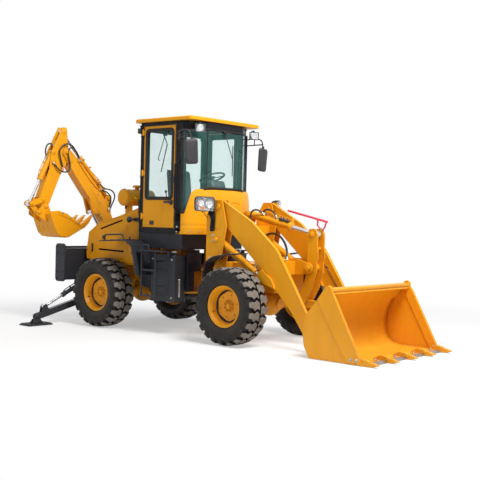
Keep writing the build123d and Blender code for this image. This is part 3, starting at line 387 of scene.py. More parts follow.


# Sprayed enamel on steel: slow drift of tone, orange peel, grime streaks, painted shade with patchy grime
# in corners, rubbed edges, dust low down
def paintFinish(name, look):
    finish, tree, shader, place = startFinish(name)
    drift = span(tree, noiseAt(tree, place, look["driftScale"], 2), 0.35, 0.65)
    colour = blendColour(tree, drift, look["colour"], look["shade"])
    runs = span(tree, noiseAt(tree, place, 1.0, 3, 0.6, (9, 9, 0.9)), 0.5, 0.78, 0.0, look["streak"])
    colour = blendColour(tree, runs, colour, look["grimeAndShade"])
    # painted shade: hollows and corners found by ambient occlusion darken toward the grime colour, broken
    # up with patchy noise
    corner = span(tree, crevice(tree, look["cornerReach"]), 0.25, 0.95)
    patchy = span(tree, noiseAt(tree, place, 14, 4), 0.3, 0.7, 0.25, 1.0)
    cornerShadeAndDirt = sums(tree, "MULTIPLY", sums(tree, "MULTIPLY", corner, patchy), look["cornerShadeAndDirt"])
    colour = blendColour(tree, cornerShadeAndDirt, colour, look["grimeAndShade"])
    rounded, near = softEdge(tree, look["edge"])
    rubbed = sums(tree, "MULTIPLY", span(tree, near, 0.06, 0.28),
                  span(tree, noiseAt(tree, place, 38, 4, 0.7), 0.5, 0.68))
    rubbed = sums(tree, "MULTIPLY", rubbed, look["wear"])
    colour = blendColour(tree, rubbed, colour, look["bare"])
    height = addNode(tree, "ShaderNodeSeparateXYZ")
    tree.links.new(place, height.inputs[0])
    low = span(tree, height.outputs["Z"], look["dustTop"], 0.0, 0.0, look["dust"])
    speckle = span(tree, noiseAt(tree, place, 22, 5, 0.65), 0.38, 0.72)
    dusty = sums(tree, "MULTIPLY", low, speckle)
    colour = blendColour(tree, dusty, colour, look["dustColour"])
    plug(tree, colour, shader.inputs["Base Color"])
    sheen = span(tree, noiseAt(tree, place, 5, 3), 0.3, 0.7, look["rough"] - 0.05, look["rough"] + 0.08)
    sheen = sums(tree, "ADD", sheen, sums(tree, "MULTIPLY", dusty, 0.4))
    sheen = sums(tree, "ADD", sheen, sums(tree, "MULTIPLY", cornerShadeAndDirt, 0.25))
    plug(tree, sheen, shader.inputs["Roughness"])
    shader.inputs["Coat Weight"].default_value = look["coat"]
    shader.inputs["Coat Roughness"].default_value = 0.12
    shader.inputs["Specular IOR Level"].default_value = look["gloss"]
    peel = bumped(tree, noiseAt(tree, place, 420, 2), look["peel"], 0.0006, rounded)
    waves = bumped(tree, noiseAt(tree, place, 5.5, 2), 0.25, 0.0025, peel)
    plug(tree, waves, shader.inputs["Normal"])
    return finish


# the grime colour tints the streaks and the painted shade in corners; the dirt amount sets how strong that
# corner shade is
yellowLook = {
    "colour": (0.83, 0.356, 0.008), "shade": (0.78, 0.320, 0.006), "grimeAndShade": (0.16, 0.062, 0.008),
    "bare": (0.62, 0.50, 0.30), "dustColour": (0.50, 0.37, 0.20), "driftScale": 0.9, "streak": 0.10,
    "cornerReach": 0.10, "cornerShadeAndDirt": 0.42, "edge": 0.006, "wear": 0.45, "dustTop": 1.0, "dust": 0.22,
    "rough": 0.36, "coat": 0.06, "peel": 0.22, "gloss": 0.20,
}
greyLook = dict(yellowLook, colour=(0.018, 0.020, 0.026), shade=(0.026, 0.028, 0.035),
                grimeAndShade=(0.010, 0.009, 0.008), bare=(0.16, 0.15, 0.14), dustColour=(0.15, 0.13, 0.11),
                wear=0.5, dust=0.22, rough=0.42, coat=0.07, cornerShadeAndDirt=0.5, gloss=0.24)
blackLook = dict(greyLook, colour=(0.006, 0.006, 0.009), shade=(0.010, 0.010, 0.014),
                 bare=(0.07, 0.07, 0.07), dust=0.12, rough=0.40, coat=0.05, gloss=0.16)
redLook = dict(yellowLook, colour=(0.86, 0.060, 0.110), shade=(0.76, 0.045, 0.085),
               grimeAndShade=(0.12, 0.01, 0.01), bare=(0.5, 0.3, 0.28), rough=0.3)
yellowPaint = paintFinish("yellow enamel", yellowLook)
greyPaint = paintFinish("charcoal enamel", greyLook)
blackPaint = paintFinish("black enamel", blackLook)
redPaint = paintFinish("red enamel", redLook)


# Tread rubber: sidewall is cleaner and shinier, the lugs' tops are scuffed pale
def rubberFinish(name, look):
    finish, tree, shader, place = startFinish(name)
    drift = span(tree, noiseAt(tree, place, 4, 3), 0.3, 0.7)
    colour = blendColour(tree, drift, look["colour"], look["shade"])
    scuff = span(tree, noiseAt(tree, place, 30, 6, 0.7), 0.42, 0.7, 0.0, look["scuff"])
    colour = blendColour(tree, scuff, colour, look["dustColour"])
    fine = span(tree, noiseAt(tree, place, 160, 4, 0.7), 0.35, 0.75, 0.0, look["speck"])
    colour = blendColour(tree, fine, colour, look["dustColour"])
    # painted shade: hollows between lugs and ribs, found by ambient occlusion, darken toward the deep
    # colour
    corner = span(tree, crevice(tree, 0.05), 0.35, 1.0, 0.0, look["cornerShadeAndDirt"])
    colour = blendColour(tree, corner, colour, look["deep"])
    plug(tree, colour, shader.inputs["Base Color"])
    plug(tree, span(tree, noiseAt(tree, place, 12, 4), 0.3, 0.7, look["rough"] - 0.08, look["rough"] + 0.1),
         shader.inputs["Roughness"])
    shader.inputs["Specular IOR Level"].default_value = look["gloss"]
    rounded = softEdge(tree, 0.004)[0]
    grain = bumped(tree, noiseAt(tree, place, 260, 5, 0.7), look["bump"], 0.0012, rounded)
    plug(tree, bumped(tree, noiseAt(tree, place, 45, 4), 0.3, 0.002, grain), shader.inputs["Normal"])
    return finish


# deep is the colour of the painted shade in hollows; dirt sets its strength
sidewallLook = {"colour": (0.010, 0.009, 0.009), "shade": (0.017, 0.015, 0.014),
                "deep": (0.005, 0.004, 0.004),
                "dustColour": (0.10, 0.085, 0.072), "scuff": 0.14, "speck": 0.08, "cornerShadeAndDirt": 0.6,
                "rough": 0.42,
                "bump": 0.25, "gloss": 0.22}
treadLook = dict(sidewallLook, colour=(0.096, 0.085, 0.075), shade=(0.142, 0.126, 0.112),
                 dustColour=(0.36, 0.32, 0.28), scuff=0.5, speck=0.35, rough=0.78, bump=0.6, gloss=0.2)
sidewallRubber = rubberFinish("sidewall rubber", sidewallLook)
treadRubber = rubberFinish("tread rubber", treadLook)
trimRubber = rubberFinish("trim rubber", dict(sidewallLook, colour=(0.012, 0.012, 0.013),
                                              shade=(0.020, 0.020, 0.021), scuff=0.08, rough=0.55,
                                              cornerShadeAndDirt=0.3))


# Bare metals
def metalFinish(name, look):
    finish, tree, shader, place = startFinish(name)
    drift = span(tree, noiseAt(tree, place, look["scale"], 4), 0.3, 0.7)
    colour = blendColour(tree, drift, look["colour"], look["shade"])
    stain = span(tree, noiseAt(tree, place, look["scale"] * 4, 5, 0.7), 0.55, 0.8, 0.0, look["stain"])
    colour = blendColour(tree, stain, colour, look["stainColour"])
    plug(tree, colour, shader.inputs["Base Color"])
    shader.inputs["Metallic"].default_value = look["metal"]
    line = span(tree, noiseAt(tree, place, 1.0, 3, 0.6, look["grain"]), 0.3, 0.7)
    plug(tree, span(tree, line, 0.0, 1.0, look["rough"] - 0.04, look["rough"] + 0.08),
         shader.inputs["Roughness"])
    rounded = softEdge(tree, 0.003)[0]
    plug(tree, bumped(tree, line, look["bump"], 0.0004, rounded), shader.inputs["Normal"])
    return finish


chromeRod = metalFinish("hard chrome", {
    "colour": (0.72, 0.73, 0.76), "shade": (0.60, 0.61, 0.65), "stain": 0.2,
    "stainColour": (0.30, 0.27, 0.24),
    "metal": 0.9, "rough": 0.16, "bump": 0.12, "scale": 3, "grain": (60, 60, 60)})
bareSteel = metalFinish("ground steel", {
    "colour": (0.36, 0.34, 0.33), "shade": (0.25, 0.235, 0.23), "stain": 0.45,
    "stainColour": (0.16, 0.09, 0.05),
    "metal": 0.75, "rough": 0.42, "bump": 0.35, "scale": 8, "grain": (220, 30, 220)})
platedSteel = metalFinish("zinc plated steel", {
    "colour": (0.52, 0.50, 0.46), "shade": (0.40, 0.38, 0.35), "stain": 0.25,
    "stainColour": (0.2, 0.15, 0.1),
    "metal": 0.85, "rough": 0.33, "bump": 0.2, "scale": 20, "grain": (90, 90, 90)})
castIron = metalFinish("dark castings", {
    "colour": (0.055, 0.055, 0.06), "shade": (0.085, 0.083, 0.085), "stain": 0.4,
    "stainColour": (0.02, 0.016, 0.012),
    "metal": 0.2, "rough": 0.6, "bump": 0.7, "scale": 9, "grain": (260, 260, 260)})
print("paints, rubbers and metals mixed")


# Tinted glazing, lamp lenses and mirror glass
def glazingFinish(name, look):
    finish, tree, shader, place = startFinish(name)
    out = tree.nodes[1]
    smear = noiseAt(tree, place, 3.5, 5, 0.65)
    shader.inputs["Base Color"].default_value = colour4(look["through"])
    shader.inputs["Transmission Weight"].default_value = 1.0
    shader.inputs["IOR"].default_value = look["ior"]
    plug(tree, span(tree, smear, 0.35, 0.8, 0.0, look["haze"]), shader.inputs["Roughness"])
    body = addNode(tree, "ShaderNodeBsdfDiffuse")
    plug(tree, blendColour(tree, smear, look["body"], look["bodyShade"]), body.inputs["Color"])
    film = addNode(tree, "ShaderNodeMixShader")
    plug(tree, span(tree, noiseAt(tree, place, 7, 5, 0.7), 0.3, 0.8, look["film"], look["film"] * 1.6),
         film.inputs["Fac"])
    tree.links.new(shader.outputs["BSDF"], film.inputs[1])
    tree.links.new(body.outputs["BSDF"], film.inputs[2])
    clear = addNode(tree, "ShaderNodeBsdfTransparent")
    clear.inputs["Color"].default_value = colour4(look["shadow"])
    ray = addNode(tree, "ShaderNodeLightPath")
    either = addNode(tree, "ShaderNodeMixShader")
    tree.links.new(ray.outputs["Is Shadow Ray"], either.inputs["Fac"])
    tree.links.new(film.outputs["Shader"], either.inputs[1])
    tree.links.new(clear.outputs["BSDF"], either.inputs[2])
    tree.links.new(either.outputs["Shader"], out.inputs["Surface"])
    return finish


cabGlazing = glazingFinish("tinted glazing", {
    "through": (0.925, 0.972, 0.968), "ior": 1.12, "haze": 0.03, "body": (0.13, 0.42, 0.38),
    "bodyShade": (0.17, 0.48, 0.44), "film": 0.055, "shadow": (0.80, 0.93, 0.92)})
lensGlass = glazingFinish("lamp lens", {
    "through": (0.97, 0.98, 0.98), "ior": 1.35, "haze": 0.08, "body": (0.75, 0.78, 0.80),
    "bodyShade": (0.60, 0.63, 0.66), "film": 0.10, "shadow": (0.95, 0.95, 0.95)})
amberLens = glazingFinish("amber lens", {
    "through": (0.98, 0.42, 0.06), "ior": 1.3, "haze": 0.10, "body": (0.85, 0.28, 0.02),
    "bodyShade": (0.7, 0.2, 0.02), "film": 0.35, "shadow": (0.95, 0.5, 0.1)})
redLens = glazingFinish("red lens", {
    "through": (0.95, 0.05, 0.03), "ior": 1.3, "haze": 0.10, "body": (0.70, 0.02, 0.02),
    "bodyShade": (0.5, 0.01, 0.01), "film": 0.45, "shadow": (0.95, 0.1, 0.1)})
reflector = metalFinish("lamp reflector", {
    "colour": (0.86, 0.87, 0.88), "shade": (0.74, 0.75, 0.77), "stain": 0.08,
    "stainColour": (0.4, 0.38, 0.36),
    "metal": 1.0, "rough": 0.12, "bump": 0.15, "scale": 12, "grain": (140, 140, 140)})
mirrorGlass = metalFinish("mirror glass", {
    "colour": (0.80, 0.83, 0.85), "shade": (0.72, 0.75, 0.78), "stain": 0.06,
    "stainColour": (0.4, 0.4, 0.4),
    "metal": 1.0, "rough": 0.06, "bump": 0.03, "scale": 5, "grain": (20, 20, 20)})


# Moulded plastic, seat cloth and hose
def plasticFinish(name, look):
    finish, tree, shader, place = startFinish(name)
    drift = span(tree, noiseAt(tree, place, 6, 3), 0.3, 0.7)
    colour = blendColour(tree, drift, look["colour"], look["shade"])
    worn = span(tree, noiseAt(tree, place, 40, 5, 0.7), 0.55, 0.8, 0.0, look["dust"])
    plug(tree, blendColour(tree, worn, colour, look["dustColour"]), shader.inputs["Base Color"])
    plug(tree, span(tree, noiseAt(tree, place, 15, 3), 0.3, 0.7, look["rough"] - 0.06, look["rough"]
                    + 0.08), shader.inputs["Roughness"])
    cells = addNode(tree, "ShaderNodeTexVoronoi")
    cells.inputs["Scale"].default_value = look["grain"]
    plug(tree, place, cells.inputs["Vector"])
    rounded = softEdge(tree, 0.004)[0]
    plug(tree, bumped(tree, cells.outputs["Distance"], look["bump"], 0.0008, rounded),
         shader.inputs["Normal"])
    return finish


housingPlastic = plasticFinish("mirror and lamp housings", {
    "colour": (0.017, 0.016, 0.019), "shade": (0.026, 0.024, 0.028), "dustColour": (0.11, 0.10, 0.10),
    "dust": 0.2,
    "rough": 0.5, "grain": 420, "bump": 0.3})
cabTrim = plasticFinish("cab trim", {
    "colour": (0.022, 0.023, 0.027), "shade": (0.034, 0.035, 0.040), "dustColour": (0.14, 0.13, 0.13),
    "dust": 0.2,
    "rough": 0.62, "grain": 300, "bump": 0.4})


def clothFinish(name, look):
    finish, tree, shader, place = startFinish(name)
    threads = []
    for stretch in ((900, 60, 900), (60, 900, 900)):
        threads.append(noiseAt(tree, place, 1.0, 2, 0.5, stretch))
    weave = sums(tree, "ADD", threads[0], threads[1])
    drift = span(tree, noiseAt(tree, place, 8, 4), 0.3, 0.7)
    colour = blendColour(tree, drift, look["colour"], look["shade"])
    lint = span(tree, weave, 0.8, 1.25, 0.0, 0.5)
    plug(tree, blendColour(tree, lint, colour, look["thread"]), shader.inputs["Base Color"])
    plug(tree, span(tree, weave, 0.7, 1.3, 0.75, 0.95), shader.inputs["Roughness"])
    shader.inputs["Sheen Weight"].default_value = 0.3
    plug(tree, bumped(tree, weave, 0.5, 0.0015), shader.inputs["Normal"])
    return finish


seatCloth = clothFinish("seat cloth", {"colour": (0.030, 0.032, 0.036), "shade": (0.045, 0.046, 0.050),
                                        "thread": (0.10, 0.10, 0.11)})


def hoseFinish(name, look):
    finish, tree, shader, place = startFinish(name)
    drift = span(tree, noiseAt(tree, place, 18, 4), 0.3, 0.7)
    colour = blendColour(tree, drift, look["colour"], look["shade"])
    dull = span(tree, noiseAt(tree, place, 70, 5, 0.7), 0.5, 0.8, 0.0, 0.35)
    plug(tree, blendColour(tree, dull, colour, look["dustColour"]), shader.inputs["Base Color"])
    plug(tree, span(tree, dull, 0.0, 0.35, look["rough"], look["rough"] + 0.25), shader.inputs["Roughness"])
    plug(tree, bumped(tree, noiseAt(tree, place, 500, 3), 0.3, 0.0008), shader.inputs["Normal"])
    return finish


hoseRubber = hoseFinish("hydraulic hose", {"colour": (0.012, 0.012, 0.013), "shade": (0.022, 0.022, 0.023),
                                            "dustColour": (0.10, 0.095, 0.09), "rough": 0.42})
print("glazing, plastics, cloth and hose mixed")


# Finishes on the CAD pieces
paintOf = [
    (yellowPaint, """
        engine_hood cab_nose cab_roof front_frame rear_frame loader_arms loader_bucket
        lift_ram_barrels tilt_ram_barrel tilt_rocker tilt_link backhoe_boom backhoe_bucket
        dipper_stick boom_ram_barrel crowd_ram_barrel bucket_ram_barrel curl_link tipping_levers
        swing_post door_left door_right air_cleaner front_axle rear_axle rim_front_left
        rim_front_right rim_rear_left rim_rear_right"""),
    (greyPaint, """
        mudguards_and_steps side_tanks cab_platform side_shift_frame swing_carriage front_mudguards
        stabilizer_leg_left stabilizer_leg_right stabilizer_pad_left stabilizer_pad_right
        stabilizer_ram_barrel_left stabilizer_ram_barrel_right"""),
    (blackPaint, "cab_frame"),
    (castIron, "powertrain"),
    (housingPlastic, "mirrors headlamps"),
    (cabTrim, "operator_station"),
    (cabGlazing, "cab_glass door_glass_left door_glass_right"),
    (sidewallRubber, "tyre_front_left tyre_front_right tyre_rear_left tyre_rear_right"),
    (chromeRod, """
        boom_ram_rod crowd_ram_rod bucket_ram_rod tilt_ram_rod lift_ram_rods stabilizer_ram_rod_left
        stabilizer_ram_rod_right"""),
]
unpainted = set(nodes)
for finish, names in paintOf:
    for name in names.split():
        unpainted.discard(name)
        for holder in nodes[name].material_slots:
            holder.material = finish
print("carried-over pieces finished, left over:", sorted(unpainted))


# Tyres: one carved shape used at all four corners
tyreSet = {
    "lugs": 22, "radius": 0.525, "turns": 110,
    "carcass": [(0.129, 0.263), (0.132, 0.286), (0.146, 0.292), (0.160, 0.291), (0.168, 0.300),
                (0.180, 0.322),
                (0.1885, 0.345), (0.1905, 0.347), (0.1925, 0.352), (0.1975, 0.380), (0.1988, 0.384),
                (0.1992, 0.400),
                (0.1985, 0.414), (0.1955, 0.430), (0.188, 0.448), (0.174, 0.466), (0.150, 0.478),
                (0.110, 0.483),
                (0.060, 0.485), (0.0, 0.486)],
    "stations": [(0.1990, -0.034, 0.024, 0.448, 0.430), (0.1985, -0.038, 0.028, 0.468, 0.430),
                 (0.190, -0.042, 0.032, 0.490, 0.446), (0.170, -0.046, 0.036, 0.508, 0.462),
                 (0.148, -0.049, 0.039, 0.5150, 0.472), (0.128, -0.041, 0.060, 0.5205, 0.476),
                 (0.108, -0.034, 0.076, 0.5238, 0.478), (0.082, -0.050, 0.060, 0.5245, 0.480),
                 (0.060, -0.063, 0.047, 0.5247, 0.480), (0.034, -0.047, 0.062, 0.5248, 0.481),
                 (0.012, -0.034, 0.076, 0.5248, 0.481)],
}


def carveTyre(look):
    bm = bmesh.new()
    inner = look["carcass"]
    profile = inner + [(-y, r) for y, r in reversed(inner[:-1])]
    turns = look["turns"]
    rings = []
    for k in range(turns):
        angle = 2 * math.pi * k / turns
        rings.append([Vector((r * math.cos(angle), y, r * math.sin(angle))) for y, r in profile])
    skin(bm, rings, loop=True)
    for face in bm.faces:
        face.material_index = 0
    pitch = 2 * math.pi / look["lugs"]
    for half in (1, -1):
        for index in range(look["lugs"]):
            start = pitch * (index + (0.5 if half < 0 else 0.0))
            rings = []
            for y, low, high, top, bottom in look["stations"]:
                chamfer = 0.006
                ring = []
                for reach, radius in ((low - 0.006, bottom), (low, top - chamfer), (low + chamfer, top),
                                      (high - chamfer, top), (high, top - chamfer), (high + 0.006, bottom)):
                    angle = start + reach / look["radius"]
                    ring.append(Vector((radius * math.cos(angle), half * y, radius * math.sin(angle))))
                rings.append(ring)
            before = set(bm.faces)
            skin(bm, rings)
            for face in set(bm.faces) - before:
                middle = face.calc_center_median()
                outward = Vector((middle.x, 0, middle.z)).normalized()
                face.normal_update()
                reach = math.hypot(middle.x, middle.z)
                face.material_index = 1 if abs(face.normal.dot(outward)) > 0.55 and reach > 0.45 else 0
    # raised marks on the flank: short bars in a ring
    for half in (1, -1):
        for index in range(44):
            angle = 2 * math.pi * index / 44
            out = spoke(angle)
            centre = out * 0.3645 + Vector((0, half * 0.1945, 0))
            lean = Matrix.Rotation(math.pi / 2 - angle, 3, "Y")
            softBlock(bm, centre, (0.010, 0.0045, 0.024), 0.0015, lean, 1)
    bmesh.ops.recalc_face_normals(bm, faces=bm.faces[:])
    return bm


tyreMesh = None
rimSet = {"nuts": 8, "nutRing": 0.066, "discAt": -0.020, "plateAt": 0.043, "plateReach": 0.212,
          "plateThick": 0.009,
          "gap": (0.176, 0.2195), "bolts": 6, "boltRing": 0.150}
for corner in ("front_left", "front_right", "rear_left", "rear_right"):
    body = "wheel_" + corner
    middle = centreOf("tyre_" + corner)
    side = 1 if "left" in corner else -1
    if tyreMesh is None:
        tyre = makePiece("carved_tyre_" + corner, carveTyre(tyreSet), [sidewallRubber, treadRubber], body,
                         30, flip=False)
        tyreMesh = tyre.data.copy()
    else:
        tyre = bpy.data.objects.new("carved_tyre_" + corner, tyreMesh.copy())
        addToScene(tyre)
    turn = Matrix.Rotation(math.pi if side < 0 else 0.0, 4,
                           "Z") @ Matrix.Rotation(0.4 * len(corner), 4, "Y")
    tyre.data.transform(Matrix.Translation(middle) @ turn)
    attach(tyre, body)
    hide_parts("tyre_" + corner)

    out = Vector((0, side, 0))
    hub = middle + out * rimSet["discAt"]
    bm = bmesh.new()
    for k in range(rimSet["nuts"]):
        angle = math.radians(22.5 + 45 * k)
        place = hub + out * 0.069 + spoke(angle) * rimSet["nutRing"]
        hexBolt(bm, place, out, 0.024)
    makePiece("wheel_nuts_" + corner, bm, yellowPaint, body)
    bm = bmesh.new()
    turned(bm, [(0.056, 0.040), (0.072, 0.040), (0.078, 0.037), (0.081, 0.030), (0.0815, 0.012),
                (0.0795, 0.010), (0.0795, 0.001)], hub, out, 36)
    for k in range(6):  # ribs inside the dish
        angle = math.radians(15 + 60 * k)
        start = hub + out * 0.012 + spoke(angle) * 0.100
        bead(bm, start, start + spoke(angle) * 0.026, 0.004)
    pipe(bm, hoop(middle + out * 0.1435, 0.2795, 96), 0.0048, 8, loop=True)
    pipe(bm, hoop(middle + out * 0.128, 0.2555, 80), 0.0055, 8, loop=True)
    reach = rimSet["plateReach"]
    outline = []
    for k in range(6):  # six-sided centre plate, its corners cut off short
        for lean in (-3.5, 3.5):
            angle = math.radians(30 + 60 * k + lean)
            outline.append(hub + out * rimSet["plateAt"] + spoke(angle) * reach)
    cutPlate(bm, outline, out * rimSet["plateThick"], 0.003)
    for k in range(rimSet["bolts"]):
        angle = math.radians(15 + 360 * k / rimSet["bolts"])
        place = hub + out * (rimSet["plateAt"] + rimSet["plateThick"])
        hexBolt(bm, place + spoke(angle) * rimSet["boltRing"], out, 0.017)
    makePiece("rim_lip_" + corner, bm, yellowPaint, body)
    # painted shade: a black ring in the gap between the centre plate and the barrel, standing in for the
    # shade there
    dark = bmesh.new()
    inner, outer = rimSet["gap"]
    turned(dark, [(0.032, inner), (0.0355, inner), (0.0640, outer), (0.0605, outer)], hub, out, 72,
           caps=False)
    makePiece("rim_gap_shade_" + corner, dark, blackPaint, body)
    bm = bmesh.new()
    way = spoke(3.5)
    start = middle + out * 0.075 + way * 0.236
    turned(bm, [(0, 0.0075), (0.012, 0.0075), (0.013, 0.005), (0.034, 0.005), (0.035, 0.0065),
                (0.046, 0.0065), (0.048, 0.005)], start, (out - way * 0.35).normalized(), 12)
    makePiece("tyre_valve_" + corner, bm, trimRubber, body)
print("wheels dressed")


# Engine hood and what stands on it
hoodSet = {"half": 620, "slats": 15, "slatWidth": 900, "blades": 26}
bm = bmesh.new()
low, high = rearAt(-672, 0, 1152), rearAt(-622, 0, 1418)
rise = (high - low)
lean = Matrix.Rotation(math.atan2(rise.x, rise.z), 3, "Y")
away = Vector((-rise.z, 0, rise.x)).normalized()
for k in range(hoodSet["slats"]):
    place = low.lerp(high, (k + 0.5) / hoodSet["slats"]) + away * 0.006
    softBlock(bm, place, (0.010, hoodSet["slatWidth"] / 1000, 0.007), 0.002,
              lean @ Matrix.Rotation(0.5, 3, "Y"), 1)
for y in (-470, 470, 0):
    softBlock(bm, (low + high) / 2 + away * 0.007 + Vector((0, y / 1000, 0)),
              (0.012, 0.022, rise.length + 0.02), 0.003, lean, 2)
for end in (low, high):
    softBlock(bm, end + away * 0.007, (0.012, 0.962, 0.022), 0.003, lean, 2)
makePiece("radiator_grille", bm, blackPaint)
bm = bmesh.new()
for side in (-1, 1):
    for a, b in (((-345, 1486), (175, 1634)), ((-385, 1167), (215, 1151))):
        run = Vector((b[0] - a[0], 0, b[1] - a[1])).normalized()
        up = Vector((-run.z, 0, run.x)) * 0.016
        start, end = rearAt(a[0], side * 596, a[1]), rearAt(b[0], side * 596, b[1])
        cutPlate(bm, [start - up, end - up, end + up, start + up], (0, side * 0.004, 0), 0)
        for k in range(hoodSet["blades"]):  # louvre blades behind the slot
            place = start.lerp(end, (k + 0.5) / hoodSet["blades"]) + Vector((0, side * 0.010, 0))
            softBlock(bm, place, (0.004, 0.012, 0.026), 0.001, None, 1)
makePiece("slot_louvres", bm, blackPaint)
bm = bmesh.new()
for side in (-1, 1):
    face = side * hoodSet["half"]
    frameLine = rearLine(face, ((290, 1060), (290, 1700), (505, 1752), (505, 1060)))
    pipe(bm, bend(frameLine, 0.03), 0.007, 8)
    pipe(bm, bend(rearLine(face, ((-640, 1150), (-598, 1420), (-352, 1580), (70, 1674), (530, 1812))),
                  0.05), 0.006, 8)
    pipe(bm, rearLine(face, ((-625, 1022), (240, 1000), (520, 1000))), 0.006, 8)
    for x, z in ((-560, 1060), (-200, 1052), (180, 1040), (460, 1040)):
        hexBolt(bm, rearAt(x, face, z), (0, side, 0), 0.020)
for x in (-150, 250):  # raised strips along the lid
    top = 1594 + (x + 360) * 96 / 430 if x < 70 else 1690 + (x - 70) * 140 / 470
    pipe(bm, [rearAt(x, -560, top + 2), rearAt(x, 560, top + 2)], 0.007, 8)
makePiece("hood_pressings", bm, yellowPaint)
bm = bmesh.new()
for side in (-1, 1):
    face = side * hoodSet["half"]
    softBlock(bm, rearAt(-250, face + side * 5, 1360), (0.070, 0.008, 0.052), 0.002)
    for x in (-520, 420):  # rubber draw latches
        softBlock(bm, rearAt(x, face + side * 9, 1180), (0.026, 0.018, 0.095), 0.006)
        softBlock(bm, rearAt(x, face + side * 14, 1240), (0.034, 0.022, 0.018), 0.005)
        turned(bm, [(0, 0.010), (0.024, 0.010), (0.027, 0.007)], rearAt(x, face, 1132), (0, side, 0), 16)
makePiece("hood_latches", bm, trimRubber)

# Air cleaner: end cover with clips, clamps, dust valve and its rubber elbow
cleanerSet = {"x": 50, "z": 1990, "end": -508, "straps": (-500, -468, -300, -150, 48),
              "strapRadius": 0.1285}
bm = bmesh.new()
middle = rearAt(cleanerSet["x"], cleanerSet["end"], cleanerSet["z"])
turned(bm, [(-0.002, 0.116), (0.006, 0.112), (0.012, 0.098), (0.013, 0.060), (0.010, 0.050), (0.012, 0.040),
            (0.014, 0.012), (0.013, 0.002)], middle, (0, -1, 0), 48)
for y in cleanerSet["straps"]:
    ring = hoop(rearAt(cleanerSet["x"], y, cleanerSet["z"]), cleanerSet["strapRadius"], 56)
    pipe(bm, ring, 0.0042, 8, loop=True)
makePiece("cleaner_cover", bm, yellowPaint)
bm = bmesh.new()
for k in range(3):
    angle = math.radians(80 + 120 * k)
    out = spoke(angle)
    base = rearAt(cleanerSet["x"], -480, cleanerSet["z"]) + out * 0.131
    turn = Matrix.Rotation(math.pi / 2 - angle, 3, "Y")
    softBlock(bm, base, (0.022, 0.055, 0.006), 0.002, turn, 1)
    softBlock(bm, base + out * 0.006 + Vector((0, -0.020, 0)), (0.014, 0.022, 0.008), 0.003, turn, 2)
for y in (-385, -45):
    for way in (-1, 1):
        hexBolt(bm, rearAt(cleanerSet["x"] + way * 92, y, 1926), (way, 0, 0.2), 0.016)
        softBlock(bm, rearAt(cleanerSet["x"] + way * 84, y, 1926), (0.030, 0.030, 0.008), 0.002)
makePiece("cleaner_clips", bm, platedSteel)
bm = bmesh.new()
elbow = bend([rearAt(50, 60, 1990), rearAt(50, 170, 1990), rearAt(50, 190, 1860), rearAt(50, 190, 1690)],
             0.12, 10)
pipe(bm, elbow, 0.052, 20)
for t in (3, 6, 9, 12):
    spot = elbow[min(t, len(elbow) - 2)]
    way = (elbow[min(t, len(elbow) - 2) + 1] - elbow[min(t, len(elbow) - 2) - 1]).normalized()
    turned(bm, [(-0.006, 0.052), (-0.003, 0.057), (0.003, 0.057), (0.006, 0.052)], spot, way, 24)
turned(bm, [(0, 0.016), (0.018, 0.018), (0.050, 0.014), (0.060, 0.008)], rearAt(50, -440, 1866),
       (0, -0.3, -1), 20)
makePiece("cleaner_elbow", bm, trimRubber)
bm = bmesh.new()
cap = rearAt(50, -220, 2166)
turned(bm, [(-0.012, 0.074), (-0.006, 0.080), (0.000, 0.079), (0.010, 0.066), (0.018, 0.040),
            (0.0195, 0.010), (0.0195, 0.001)], cap, (0, 0, 1), 36)
turned(bm, [(-0.140, 0.036), (-0.136, 0.043), (-0.126, 0.043), (-0.122, 0.037)], cap, (0, 0, 1), 28)
makePiece("cleaner_rain_cap", bm, yellowPaint)

# Rear lamp on its bracket, black duct beside the cab, rail over the mudguard
bm = bmesh.new()
lampAt = rearAt(455, -690, 1648)
turned(bm, [(0, 0.020), (0.006, 0.034), (0.030, 0.046), (0.048, 0.048), (0.052, 0.044), (0.050, 0.040)],
       lampAt + Vector((-0.012, 0, 0)), (-1, 0, 0), 28)
softBlock(bm, rearAt(478, -652, 1648), (0.010, 0.062, 0.040), 0.003)
softBlock(bm, rearAt(500, -626, 1648), (0.060, 0.010, 0.060), 0.003)
turned(bm, [(0, 0.012), (0.030, 0.012)], lampAt + Vector((0.020, 0, 0)), (-1, 0, 0), 14)
makePiece("rear_lamp_bowl", bm, housingPlastic)
bm = bmesh.new()
turned(bm, [(0.036, 0.041), (0.044, 0.038), (0.050, 0.026), (0.052, 0.010), (0.052, 0.001)],
       lampAt + Vector((-0.012, 0, 0)), (-1, 0, 0), 28)
makePiece("rear_lamp_lens", bm, redLens)
bm = bmesh.new()
duct = bend([rearAt(566, -600, 1380), rearAt(566, -610, 1560), rearAt(566, -636, 1960)], 0.06)
pipe(bm, duct, 0.026, 16)
for z in (1480, 1620, 1760, 1900):
    turned(bm, [(-0.012, 0.026), (-0.010, 0.031), (0.010, 0.031), (0.012, 0.026)],
           rearAt(566, -604 - (z - 1480) * 0.072, z), (0, -0.06, 1), 18)
makePiece("cab_rear_duct", bm, trimRubber)
bm = bmesh.new()
